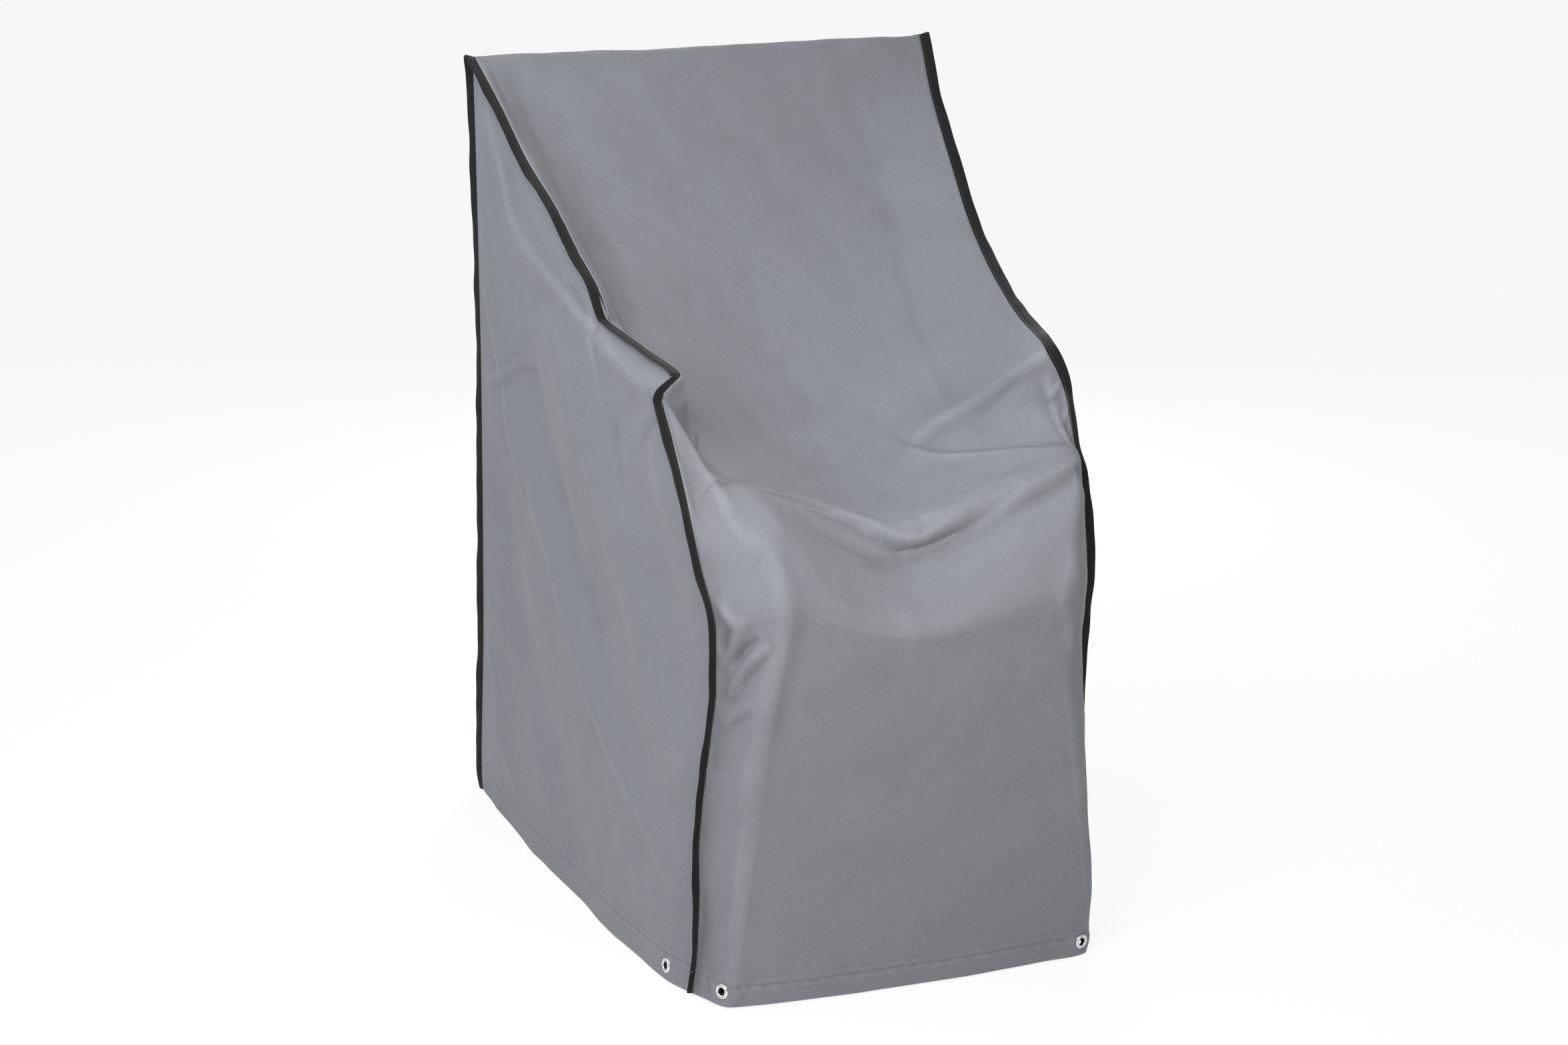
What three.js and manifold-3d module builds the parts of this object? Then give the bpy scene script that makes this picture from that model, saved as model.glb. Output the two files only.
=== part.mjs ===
// A fitted stacking chair cover of coated cloth, as it hangs: one long grey strip from the front hem over the
// seat and the top to the rear hem, a grey panel on each side, a black binding tape round each side panel, and
// a turned hem with four open eyelets.
// Millimetres, +Z up, the front faces -Y. The tables give places above the hem, from the middle of the cover.
// The exported group is moved so that its origin is the point under the top where the cover is carried.

import * as THREE from 'three';
import Module from 'manifold-3d';
import { mergeVertices } from 'three/addons/utils/BufferGeometryUtils.js';

const manifold = await Module();
manifold.setup();

// Driving sizes
const CLOTH = 2; // thickness of the coated cloth
const HALF_STRIP = 330; // half the cut width of the long strip
const REAR = -1072; // cut distance from the top fold to the rear hem, counted negative down the back
const FRONT = 1548; // cut distance from the top fold to the front hem
const TIP_LEFT = 743; // cut distance from the top fold to the left arm tip
const TIP_RIGHT = 735; // cut distance from the top fold to the right arm tip
const HEM = 40; // height of the turned hem
const HEM_LINE = FRONT - HEM; // cut distance where the front hem starts
const SEAM_INSET = 3.5; // how far a cloth edge stops short of its seam line
const INSET_CAP = 0.7; // and the most of its first mesh that it gives up for that
const CORNER_CUT = 12; // how far a side panel's upper corners stop short of their seams
const PART_GAP = 0.3; // gap between a hem and the cloth above it
const STRIP_FADE = 16; // folds of the strip fade out over this distance from its seams
const DEPTH_FADE = 0.1; // folds of a side panel fade out over this share of its depth
const HEIGHT_FADE = 0.08; // and over this share of its height under the slope
const FOLD_FALL = 0.35; // how fast every fold's flanks flatten out

const TAPE_WIDTH = 15; // how far the binding stands out from its seam
const TAPE_ROOT = 0.8; // how far the binding reaches in past its seam
const TAPE_THICKNESS = 2.8; // folded tape with the two cloth edges in it
const TAPE_LOOK = 4; // the seam's direction at a place is read this far before and after it

const EYELET_HOLE = 10; // clear diameter
const EYELET_FLANGE = 19; // outer diameter of the front flange
const EYELET_HEIGHT = 18.5; // centre above the hem's edge
const EYELET_SEAT = 26; // flat length of hem that an eyelet is pressed into
const EYELET_WALL = 1.1; // barrel of the eyelet
const EYELET_CLEAR = 0.5; // play of the barrel in the cloth
const EYELET_LIFT = 0.35; // gap between each flange and the cloth
const EYELET_SIDES = 16; // flat sides of an eyelet
const SEAT_CUT = 12; // length of the cut through the hem at each eyelet
const SEAT_MARGIN = 0.02; // share of a side hem kept clear of other net lines beside its eyelet

const CARRIER = new THREE.Vector3(0, 300, 1062); // where the cover is carried, under its top

const GREY = { color: 0x85898f, roughness: 0.82, metalness: 0 };
const BLACK = { color: 0x1d1e20, roughness: 0.7, metalness: 0 };
const STEEL = { color: 0xc9ccd0, roughness: 0.28, metalness: 1 };

// Seams. at: cut distance from the top fold, negative down the back. x, y, z: the seam line.
// lean: degrees that the tape turns from straight sideways towards the strip's own face.
const SEAM_COLUMNS = ['at', 'x', 'y', 'z', 'lean'];
const SEAM_LEFT = columns(SEAM_COLUMNS, [
  [-1072, -331, 330, 0, 78], // rear hem
  [-1032, -331, 335, 40, 80],
  [-940, -331, 323, 128, 80],
  [-800, -331, 303, 266, 80],
  [-580, -330, 290, 490, 80],
  [-370, -330, 280, 700, 80],
  [-130, -330, 279, 940, 78],
  [-25, -330, 281, 1052, 66],
  [0, -330, 281, 1076, 50], // top corner
  [35, -327, 258, 1060, 24],
  [125, -319, 184, 1016, 14],
  [225, -309, 103, 960, 12],
  [335, -298, 8, 912, 12],
  [405, -287, -49, 866, 12],
  [485, -277, -112, 822, 12],
  [520, -268, -123, 789, 12], // kink above the arm
  [625, -256, -227, 775, 14],
  [743, -245, -340, 762, 18], // arm tip
  [785, -266, -334, 735, 24], // hook
  [830, -263, -362, 690, 30],
  [915, -259, -410, 616, 34],
  [1000, -249, -434, 540, 36],
  [1065, -240, -458, 470, 36],
  [1140, -240, -457, 399, 36],
  [1210, -246, -452, 333, 36],
  [1350, -258, -442, 196, 36],
  [1425, -262, -453, 122, 40],
  [1508, -267, -453, 40, 44],
  [1548, -272, -453, 0, 44], // front hem
]);
const SEAM_RIGHT = columns(SEAM_COLUMNS, [
  [-1072, 331, 335, 0, 78], // rear hem
  [-1032, 331, 335, 40, 80],
  [-800, 331, 325, 266, 80],
  [-370, 331, 312, 700, 80],
  [-25, 331, 304, 1050, 66],
  [0, 330, 303, 1074, 50], // top corner
  [35, 326, 282, 1056, 24],
  [125, 314, 222, 1006, 14],
  [225, 300, 122, 934, 12],
  [370, 286, -6, 843, 12],
  [485, 272, -110, 803, 12],
  [610, 259, -220, 773, 14],
  [735, 245, -338, 755, 14], // arm tip
  [785, 260, -346, 722, 10],
  [830, 268, -356, 688, 6],
  [915, 272, -385, 605, 0],
  [980, 274, -398, 550, -6],
  [1065, 277, -402, 478, -12],
  [1210, 272, -394, 340, -12],
  [1350, 268, -402, 196, 0],
  [1508, 264, -412, 40, 10],
  [1548, 262, -412, 0, 10], // front hem
]);

// Lines of the long strip between its seams, each with the cut width at which it runs.
const LINE_COLUMNS = ['at', 'x', 'y', 'z'];
const FOOT_LEFT_ACROSS = -224;
const FOOT_RIGHT_ACROSS = 205;
const FOOT_LEFT = columns(LINE_COLUMNS, [
  [-1072, -225, 336, 0], // rear hem
  [-500, -225, 312, 560],
  [-25, -225, 298, 1051],
  [0, -225, 290, 1073], // top
  [170, -215, 180, 975],
  [311, -208, 85, 885],
  [449, -200, -20, 802],
  [580, -196, -130, 730],
  [697, -194, -245, 683],
  [743, -194, -290, 668],
  [830, -200, -350, 640],
  [915, -190, -392, 627], // seat edge
  [1000, -172, -470, 565],
  [1065, -166, -508, 504], // front corner ridge starts
  [1180, -185, -512, 390],
  [1330, -205, -514, 250],
  [1508, -234, -508, 40],
  [1548, -240, -507, 0], // front hem
]);
const MIDDLE = columns(LINE_COLUMNS, [
  [-1072, 0, 338, 0], // rear hem
  [-500, 0, 324, 560],
  [-25, 0, 314, 1048],
  [0, 0, 304, 1069], // top, sagging a little between the corners
  [170, 0, 195, 950],
  [311, 0, 98, 848],
  [449, 0, 0, 753],
  [580, 0, -100, 670],
  [697, 0, -200, 611],
  [801, 0, -300, 580],
  [900, 0, -396, 556],
  [915, 5, -410, 545], // seat edge
  [950, 5, -424, 518], // foot of the step under it
  [1030, 5, -484, 494],
  [1078, 5, -512, 458], // soft break to the front drop
  [1250, 3, -520, 290],
  [1508, 0, -522, 40],
  [1548, 0, -522, 0], // front hem
]);
const FOOT_RIGHT = columns(LINE_COLUMNS, [
  [-1072, 205, 338, 0], // rear hem
  [-500, 205, 322, 560],
  [-25, 205, 312, 1050],
  [0, 205, 303, 1072], // top
  [170, 196, 208, 957],
  [311, 188, 106, 862],
  [449, 180, -3, 772],
  [580, 173, -112, 703],
  [697, 168, -222, 655],
  [743, 170, -268, 643],
  [830, 194, -342, 634],
  [905, 242, -432, 634], // seat edge, drawn out to the front corner
  [945, 236, -452, 606],
  [1000, 214, -486, 556],
  [1065, 205, -512, 484],
  [1180, 196, -516, 372], // the corner is pinched here
  [1240, 204, -518, 310],
  [1330, 214, -519, 220],
  [1420, 226, -516, 130],
  [1508, 238, -508, 40],
  [1548, 234, -510, 0], // front hem
]);

// Hem of each side panel. at: 0 at the rear seam, 1 at the front seam.
const SIDE_HEM_LEFT = columns(LINE_COLUMNS, [
  [0, -331, 330, 0],
  [0.13, -333, 228, 0],
  [0.32, -330, 76, 0],
  [0.54, -318, -94, 0],
  [0.82, -303, -315, 0],
  [0.93, -291, -400, 0],
  [1, -272, -453, 0],
]);
const SIDE_HEM_RIGHT = columns(LINE_COLUMNS, [
  [0, 331, 335, 0],
  [0.13, 333, 234, 0],
  [0.32, 331, 82, 0],
  [0.54, 322, -84, 0],
  [0.82, 300, -290, 0],
  [0.93, 284, -366, 0],
  [1, 262, -412, 0],
]);

// Main folds of the strip. Each follows a path on the flat cloth, given in cut millimetres: across from the
// middle, along from the top fold, and how far the cloth rises there, or sinks where negative.
// left and right are how far the fold reaches to each side of its path; crest is 0 for sharp, 1 for soft.
const STRIP_PATH = ['across', 'along', 'height'];
const STRIP_FOLDS = [
  // ridge from the left hook to the seat corner
  fold(STRIP_PATH, { left: 20, right: 15, crest: 0.4 }, [
    [-327, 792, 3],
    [-296, 822, 8],
    [-269, 892, 9],
    [-262, 935, 6],
  ]),
  // seat edge, from the left corner down to its lowest point and up again
  fold(STRIP_PATH, { left: 18, right: 26, crest: 0.3 }, [
    [-262, 893, 4],
    [-200, 872, 3],
    [-111, 842, 4],
    [-45, 872, 7],
    [28, 922, 9],
    [62, 916, 8],
    [100, 894, 2],
  ]),
  // hollow under the seat edge
  fold(STRIP_PATH, { left: 24, right: 24, crest: 0.7 }, [
    [-190, 900, -2],
    [-153, 925, -6],
    [-69, 930, -9],
    [0, 946, -10],
    [60, 958, -8],
    [130, 940, -4],
  ]),
  // left front corner
  fold(STRIP_PATH, { left: 26, right: 22, crest: 0.5 }, [
    [-262, 900, 2],
    [-259, 972, 4],
    [-224, 1000, 6],
    [-228, 1062, 8],
    [-238, 1172, 7],
    [-246, 1306, 5],
    [-240, 1422, 4],
    [-228, 1508, 3],
  ]),
  // two small folds on that corner
  fold(STRIP_PATH, { left: 12, right: 16, crest: 0.4 }, [
    [-320, 1036, 0],
    [-308, 1052, 7],
    [-298, 1070, 8],
    [-300, 1086, 7],
    [-322, 1108, 0],
  ]),
  fold(STRIP_PATH, { left: 12, right: 18, crest: 0.4 }, [
    [-306, 1154, 0],
    [-290, 1136, 7],
    [-270, 1120, 7],
    [-250, 1108, 0],
  ]),
  // hollow under the left arm tip
  fold(STRIP_PATH, { left: 30, right: 34, crest: 0.8 }, [
    [-300, 760, -4],
    [-262, 772, -12],
    [-232, 800, -12],
    [-214, 850, -5],
  ]),
  // ridge from the right arm tip into the seat
  fold(STRIP_PATH, { left: 26, right: 14, crest: 0.4 }, [
    [328, 744, 4],
    [269, 718, 9],
    [195, 710, 9],
    [140, 718, 4],
    [117, 726, 0],
  ]),
  // lower edge of the fold beside the right arm
  fold(STRIP_PATH, { left: 24, right: 12, crest: 0.3 }, [
    [112, 724, 0],
    [122, 752, 5],
    [155, 802, 7],
    [190, 846, 6],
    [215, 866, 6],
    [281, 886, 5],
    [329, 892, 2],
  ]),
  // valley under the right seat corner
  fold(STRIP_PATH, { left: 22, right: 20, crest: 0.8 }, [
    [300, 930, 0],
    [240, 928, -6],
    [157, 940, -6],
    [110, 936, 0],
  ]),
  // soft break from the seat front to the front drop
  fold(STRIP_PATH, { left: 40, right: 26, crest: 0.5 }, [
    [-200, 1062, 3],
    [-21, 1058, 4],
    [89, 1058, 4],
    [200, 1048, 4],
  ]),
  // right front corner, pinched at one place
  fold(STRIP_PATH, { left: 18, right: 22, crest: 0.4 }, [
    [212, 1000, 0],
    [201, 1034, 4],
    [189, 1068, 6],
    [203, 1098, 5],
    [212, 1120, 5],
    [250, 1168, 5],
    [258, 1206, 5],
    [240, 1296, 5],
    [230, 1428, 4],
    [236, 1508, 2],
  ]),
  // soft folds that hang down the back
  fold(STRIP_PATH, { left: 44, right: 50, crest: 0.9 }, [
    [-120, -60, 0],
    [-140, -300, 5],
    [-150, -700, 8],
    [-160, -1072, 9],
  ]),
  fold(STRIP_PATH, { left: 60, right: 60, crest: 0.9 }, [
    [20, -120, 0],
    [24, -500, -5],
    [30, -1072, -7],
  ]),
  fold(STRIP_PATH, { left: 48, right: 44, crest: 0.9 }, [
    [150, -60, 0],
    [160, -400, 5],
    [175, -1072, 8],
  ]),
];

// Main folds of a side panel, fanning down from the top corner. Their paths are given by depth, height above
// the hem and rise.
const SIDE_PATH = ['y', 'z', 'height'];
const SIDE_FOLDS = [
  // under the slope
  fold(SIDE_PATH, { left: 18, right: 22, crest: 0.4 }, [
    [257, 1055, 0],
    [220, 1003, 5],
    [195, 953, 7],
    [145, 906, 8],
    [92, 860, 8],
    [23, 817, 8],
    [-34, 787, 7],
    [-86, 758, 3],
  ]),
  // beside the rear edge
  fold(SIDE_PATH, { left: 24, right: 18, crest: 0.4 }, [
    [258, 999, 0],
    [252, 913, 6],
    [240, 827, 8],
    [204, 745, 8],
    [168, 671, 6],
    [156, 606, 2],
  ]),
  // long fold down to the hem
  fold(SIDE_PATH, { left: 46, right: 26, crest: 0.3 }, [
    [210, 740, 0],
    [197, 709, 3],
    [156, 637, 7],
    [99, 535, 9],
    [36, 463, 10],
    [-34, 357, 10],
    [-92, 286, 10],
    [-171, 219, 9],
    [-275, 151, 8],
    [-382, 96, 4],
  ]),
  // low fold near the rear
  fold(SIDE_PATH, { left: 30, right: 22, crest: 0.4 }, [
    [290, 330, 0],
    [218, 255, 5],
    [175, 188, 6],
    [137, 116, 6],
    [99, 65, 3],
    [90, 20, 0],
  ]),
  // hollows beside the long fold
  fold(SIDE_PATH, { left: 60, right: 60, crest: 0.9 }, [
    [80, 700, 0],
    [40, 600, -7],
    [-40, 450, -8],
    [-130, 330, -3],
  ]),
  fold(SIDE_PATH, { left: 50, right: 50, crest: 0.9 }, [
    [190, 480, 0],
    [140, 380, -7],
    [60, 240, -7],
    [-40, 130, -3],
  ]),
  // dent under the kink above the arm
  fold(SIDE_PATH, { left: 16, right: 18, crest: 0.5 }, [
    [-40, 826, 0],
    [-70, 812, -6],
    [-98, 797, -7],
    [-122, 776, -3],
  ]),
];

// Eyelets of the front hem, by their place across the strip, and of the side hems, by their share of the hem.
const FRONT_EYELETS = { 'eyelet-front-left': -248, 'eyelet-front-right': 203 };
const SIDE_EYELET_AT = 0.93;

// Steps of the nets: cut distances down the back, down the slope with both arm tips, and down the front.
// All pieces that meet along a seam share them.
const REAR_ALONG = [REAR, REAR + HEM, ...steps(-970, -130, 9), -70, -28, -10];
const SLOPE_ALONG = [
  0, 10, 34, 76, ...steps(124, 460, 8), 485, 520, ...steps(570, 690, 3), 716, TIP_RIGHT, TIP_LEFT,
];
const FRONT_ALONG = [764, ...steps(785, 1112, 22), ...steps(1150, HEM_LINE - PART_GAP, 8)];
const STRIP_ALONG = [...REAR_ALONG, ...SLOPE_ALONG, ...FRONT_ALONG];
const TAPE_ALONG = [...STRIP_ALONG, FRONT];
const STRIP_ACROSS = steps(-1, 1, 29);

// Evenly spaced values from first to last.
function steps(first, last, count) {
  return Array.from({ length: count }, (_, i) => first + ((last - first) * i) / (count - 1));
}

// Whole numbers from 0 up.
function counted(count) {
  return Array.from({ length: count }, (_, i) => i);
}

// Turns a table into one list of values for each named column.
function columns(names, table) {
  return Object.fromEntries(names.map((name, c) => [name, table.map((row) => row[c])]));
}

// A fold: its reach and crest, and its path with two places on the cloth and a height for each row.
function fold(names, shape, table) {
  const path = columns(names, table);
  const [first, second] = names.map((name) => path[name]);
  const points = first.map((value, i) => new THREE.Vector2(value, second[i]));
  return { ...shape, points, heights: path.height };
}

// Tangents of a curve through the points that never overshoots them.
function tangents(at, values) {
  const last = at.length - 1;
  const rise = (i) => (values[i + 1] - values[i]) / (at[i + 1] - at[i]);
  return values.map((_, i) => {
    if (i === 0) return rise(0);
    if (i === last) return rise(last - 1);
    const before = rise(i - 1);
    const after = rise(i);
    if (before * after <= 0) return 0;
    const near = at[i + 1] - at[i];
    const far = at[i] - at[i - 1];
    return (3 * (near + far)) / ((2 * near + far) / before + (near + 2 * far) / after);
  });
}

// The value at one place of the smooth curve through the points.
function smooth(at, values, place) {
  const p = THREE.MathUtils.clamp(place, at[0], at[at.length - 1]);
  let i = at.findIndex((a) => a > p) - 1;
  if (i < 0) i = at.length - 2;
  const slope = tangents(at, values);
  const span = at[i + 1] - at[i];
  const t = (p - at[i]) / span;
  const s = 1 - t;
  return values[i] * s * s * (1 + 2 * t) + values[i + 1] * t * t * (3 - 2 * t)
    + span * (slope[i] * t * s * s - slope[i + 1] * t * t * s);
}

// The point of a table's line at one place.
function pointAt(line, place) {
  return new THREE.Vector3(...['x', 'y', 'z'].map((axis) => smooth(line.at, line[axis], place)));
}

// How far a fold lifts the cloth at a point: full on its path, falling away to both sides and past its ends.
function foldLift({ points, heights, left, right, crest }, u, v) {
  const place = new THREE.Vector2(u, v);
  let nearest = Infinity;
  let lift = 0;
  points.slice(1).forEach((end, i) => {
    const way = end.clone().sub(points[i]);
    const offset = place.clone().sub(points[i]);
    const share = THREE.MathUtils.clamp(offset.dot(way) / way.lengthSq(), 0, 1);
    const distance = offset.distanceTo(way.clone().multiplyScalar(share));
    if (distance >= nearest) return;
    nearest = distance;
    const t = distance / (way.cross(offset) > 0 ? left : right);
    const height = THREE.MathUtils.lerp(heights[i], heights[i + 1], share);
    lift = height * Math.exp(crest - Math.hypot(t, crest) - FOLD_FALL * t * t);
  });
  return lift;
}

// The long strip before its folds: the curve across it at one cut distance, through its five lines.
const ACROSS_KNOTS = [-1, FOOT_LEFT_ACROSS / HALF_STRIP, 0, FOOT_RIGHT_ACROSS / HALF_STRIP, 1];
function stripPoint(across, along) {
  const points = [SEAM_LEFT, FOOT_LEFT, MIDDLE, FOOT_RIGHT, SEAM_RIGHT].map((line) => pointAt(line, along));
  return new THREE.Vector3(
    ...['x', 'y', 'z'].map((axis) => smooth(ACROSS_KNOTS, points.map((p) => p[axis]), across)),
  );
}

// The cut distance on the rear seam that is level with a share of the front seam's height.
function rearAt(height, tip) {
  const hemShare = HEM / (FRONT - tip);
  if (height < hemShare) return REAR + (HEM * height) / hemShare;
  return (REAR + HEM) * (1 - (height - hemShare) / (1 - hemShare));
}

// A side panel before its folds: a patch between its rear seam, slope, front seam and hem.
function sidePoint(seam, hem, tip, depth, height) {
  const low = pointAt(hem, depth);
  const high = pointAt(seam, depth * tip);
  const rear = pointAt(seam, rearAt(height, tip));
  const front = pointAt(seam, FRONT - (FRONT - tip) * height);
  const corner = (at, share) => pointAt(seam, at).multiplyScalar(share);
  return low.multiplyScalar(1 - height)
    .add(high.multiplyScalar(height))
    .add(rear.multiplyScalar(1 - depth))
    .add(front.multiplyScalar(depth))
    .sub(corner(REAR, (1 - depth) * (1 - height)))
    .sub(corner(FRONT, depth * (1 - height)))
    .sub(corner(0, (1 - depth) * height))
    .sub(corner(tip, depth * height));
}

// A geometry of points and the triangles between them.
function indexed(points, index) {
  const geometry = new THREE.BufferGeometry();
  geometry.setAttribute('position', new THREE.Float32BufferAttribute(points.flatMap((p) => p.toArray()), 3));
  geometry.setIndex(index);
  return geometry;
}

// Outward directions of a net of points, by the faces round each point.
function netNormals(net) {
  const wide = net.length;
  const long = net[0].length;
  const pick = (i, j) => net[THREE.MathUtils.clamp(i, 0, wide - 1)][THREE.MathUtils.clamp(j, 0, long - 1)];
  return net.map((line, i) => line.map((_, j) => {
    const across = pick(i + 1, j).clone().sub(pick(i - 1, j));
    const along = pick(i, j + 1).clone().sub(pick(i, j - 1));
    return along.cross(across).normalize();
  }));
}

// A closed sheet of the given thickness on a net of points, which is its inner face.
function sheet(net, thickness) {
  const wide = net.length;
  const long = net[0].length;
  const inner = net.flat();
  const outer = lifted(net, () => thickness).flat();
  const at = (i, j) => i * long + j;
  const back = inner.length;
  const index = [];
  const quad = (a, b, c, d) => index.push(a, b, c, a, c, d);
  for (let i = 0; i < wide - 1; i += 1) {
    for (let j = 0; j < long - 1; j += 1) {
      quad(at(i, j), at(i, j + 1), at(i + 1, j + 1), at(i + 1, j));
      quad(back + at(i, j), back + at(i + 1, j), back + at(i + 1, j + 1), back + at(i, j + 1));
    }
  }
  const rim = [
    ...counted(wide - 1).map((i) => [at(i, 0), at(i + 1, 0)]),
    ...counted(long - 1).map((j) => [at(wide - 1, j), at(wide - 1, j + 1)]),
    ...counted(wide - 1).map((i) => [at(wide - 1 - i, long - 1), at(wide - 2 - i, long - 1)]),
    ...counted(long - 1).map((j) => [at(0, long - 1 - j), at(0, long - 2 - j)]),
  ];
  rim.forEach(([a, b]) => quad(a, b, back + b, back + a));
  return indexed([...outer, ...inner], index);
}

// Lifts each point of a net along its outward direction.
function lifted(net, lift) {
  const normals = netNormals(net);
  return net.map((line, i) => line.map((p, j) => p.clone().addScaledVector(normals[i][j], lift(i, j))));
}

// Moves a point on a seam towards its neighbour in the cloth, until it stands off the seam by the inset.
// before and after are the points on each side of it along the seam.
function pulled(point, neighbour, before, after) {
  const seamWay = after.clone().sub(before).normalize();
  const way = neighbour.clone().sub(point);
  const square = way.clone().addScaledVector(seamWay, -way.dot(seamWay)).length();
  return point.clone().addScaledVector(way, Math.min(SEAM_INSET / square, INSET_CAP));
}

// Fades folds out towards a cloth edge: 0 at the edge, 1 from a distance of fade on.
function edgeFade(distance, fade) {
  return THREE.MathUtils.smoothstep(distance, 0, fade);
}

// The long strip's net between two cut distances, with its folds and its seam edges pulled in.
function stripNet(acrossSteps, alongSteps, folds) {
  const base = acrossSteps.map((u) => alongSteps.map((along) => stripPoint(u, along)));
  const folded = lifted(base, (i, j) => {
    const across = acrossSteps[i] * HALF_STRIP;
    const fade = edgeFade(HALF_STRIP - Math.abs(across), STRIP_FADE);
    return fade * folds.reduce((sum, one) => sum + foldLift(one, across, alongSteps[j]), 0);
  });
  const last = folded.length - 1;
  const end = alongSteps.length - 1;
  const edge = (i, inner) => folded[i].map((p, j) => pulled(
    p, folded[inner][j], folded[i][Math.max(j - 1, 0)], folded[i][Math.min(j + 1, end)],
  ));
  return [edge(0, 1), ...folded.slice(1, last), edge(last, last - 1)];
}

// A side panel's point with its folds, which fade out towards the seams.
function foldedSidePoint(panel, depth, height) {
  const p = sidePoint(panel.seam, panel.hem, panel.tip, depth, height);
  const fade = edgeFade(Math.min(depth, 1 - depth), DEPTH_FADE) * edgeFade(1 - height, HEIGHT_FADE);
  const lift = SIDE_FOLDS.reduce((sum, one) => sum + foldLift(one, p.y, p.z), 0);
  return p.add(new THREE.Vector3(panel.outward * fade * lift, 0, 0));
}

// A side panel's net above its hem, rear to front and hem to top, turned so that it faces out.
function sideNet(panel) {
  const { tip, outward } = panel;
  const depths = [...SLOPE_ALONG.filter((along) => along < TIP_RIGHT), tip].map((along) => along / tip);
  const heights = [...SLOPE_ALONG.slice(-2), ...FRONT_ALONG].filter((along) => along >= tip).reverse()
    .map((along) => (FRONT - along) / (FRONT - tip));
  const long = heights.length - 1;
  const deep = depths.length - 1;
  const folded = depths.map((depth) => heights.map((height) => foldedSidePoint(panel, depth, height)));
  const pick = (i, j) => folded[THREE.MathUtils.clamp(i, 0, deep)][THREE.MathUtils.clamp(j, 0, long)];
  const net = folded.map((line, i) => line.map((p, j) => {
    if (i > 0 && i < deep && j < long) return p;
    const neighbour = pick(THREE.MathUtils.clamp(i, 1, deep - 1), Math.min(j, long - 1));
    if (j === long && (i === 0 || i === deep)) {
      const way = pick(THREE.MathUtils.clamp(i, 2, deep - 2), long - 2).clone().sub(p).normalize();
      return p.clone().addScaledVector(way, CORNER_CUT);
    }
    if (j < long) return pulled(p, neighbour, pick(i, j - 1), pick(i, j + 1));
    return pulled(p, neighbour, pick(i - 1, j), pick(i + 1, j));
  }));
  return outward < 0 ? net.reverse() : net;
}

// A manifold solid from a closed three.js geometry, and back.
function toSolid(geometry) {
  const plain = geometry.clone();
  plain.deleteAttribute('normal');
  plain.deleteAttribute('uv');
  const merged = mergeVertices(plain, 1e-4);
  return new manifold.Manifold(new manifold.Mesh({
    numProp: 3,
    vertProperties: new Float32Array(merged.attributes.position.array),
    triVerts: new Uint32Array(merged.index.array),
  }));
}
function toGeometry(solid) {
  const mesh = solid.getMesh();
  const geometry = new THREE.BufferGeometry();
  geometry.setAttribute('position', new THREE.BufferAttribute(new Float32Array(mesh.vertProperties), 3));
  geometry.setIndex(new THREE.BufferAttribute(new Uint32Array(mesh.triVerts), 1));
  return geometry;
}

// Where an eyelet sits: its centre in the middle of the cloth, and the way that it faces.
function eyeletSeat(lowA, lowB, highA, highB) {
  const along = lowB.clone().sub(lowA);
  const up = highA.clone().add(highB).sub(lowA).sub(lowB);
  const facing = along.cross(up).normalize();
  const low = lowA.clone().add(lowB).multiplyScalar(0.5);
  const high = highA.clone().add(highB).multiplyScalar(0.5);
  const centre = low.lerp(high, EYELET_HEIGHT / HEM).addScaledVector(facing, CLOTH / 2);
  return { centre, facing };
}

// A hem: a sheet one hem tall, cut through at each eyelet seat.
function hemGeometry(net, seats) {
  const barrel = EYELET_HOLE / 2 + EYELET_WALL + EYELET_CLEAR;
  return toGeometry(seats.reduce((solid, seat) => {
    const cutter = new THREE.CylinderGeometry(barrel, barrel, SEAT_CUT, EYELET_SIDES);
    cutter.applyQuaternion(new THREE.Quaternion().setFromUnitVectors(new THREE.Vector3(0, 1, 0), seat.facing));
    cutter.translate(...seat.centre.toArray());
    return solid.subtract(toSolid(cutter));
  }, toSolid(sheet(net, CLOTH))));
}

// The front hem's net and its two eyelet seats.
function frontHem() {
  const half = EYELET_SEAT / 2;
  const middle = Object.values(FRONT_EYELETS);
  const scale = (across) => {
    const step = 2;
    const a = stripPoint((across - step) / HALF_STRIP, FRONT);
    return a.distanceTo(stripPoint((across + step) / HALF_STRIP, FRONT)) / (2 * step);
  };
  const [left, right] = middle.map((across) => [across - half / scale(across), across + half / scale(across)]);
  const acrossSteps = [
    ...steps(-HALF_STRIP, left[0], 3), ...steps(left[1], right[0], 9), ...steps(right[1], HALF_STRIP, 4),
  ];
  const net = stripNet(acrossSteps.map((across) => across / HALF_STRIP), [HEM_LINE, FRONT], []);
  const seats = [left, right].map(([edge]) => {
    const i = acrossSteps.indexOf(edge);
    return eyeletSeat(net[i][1], net[i + 1][1], net[i][0], net[i + 1][0]);
  });
  return { net, seats };
}

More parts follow.
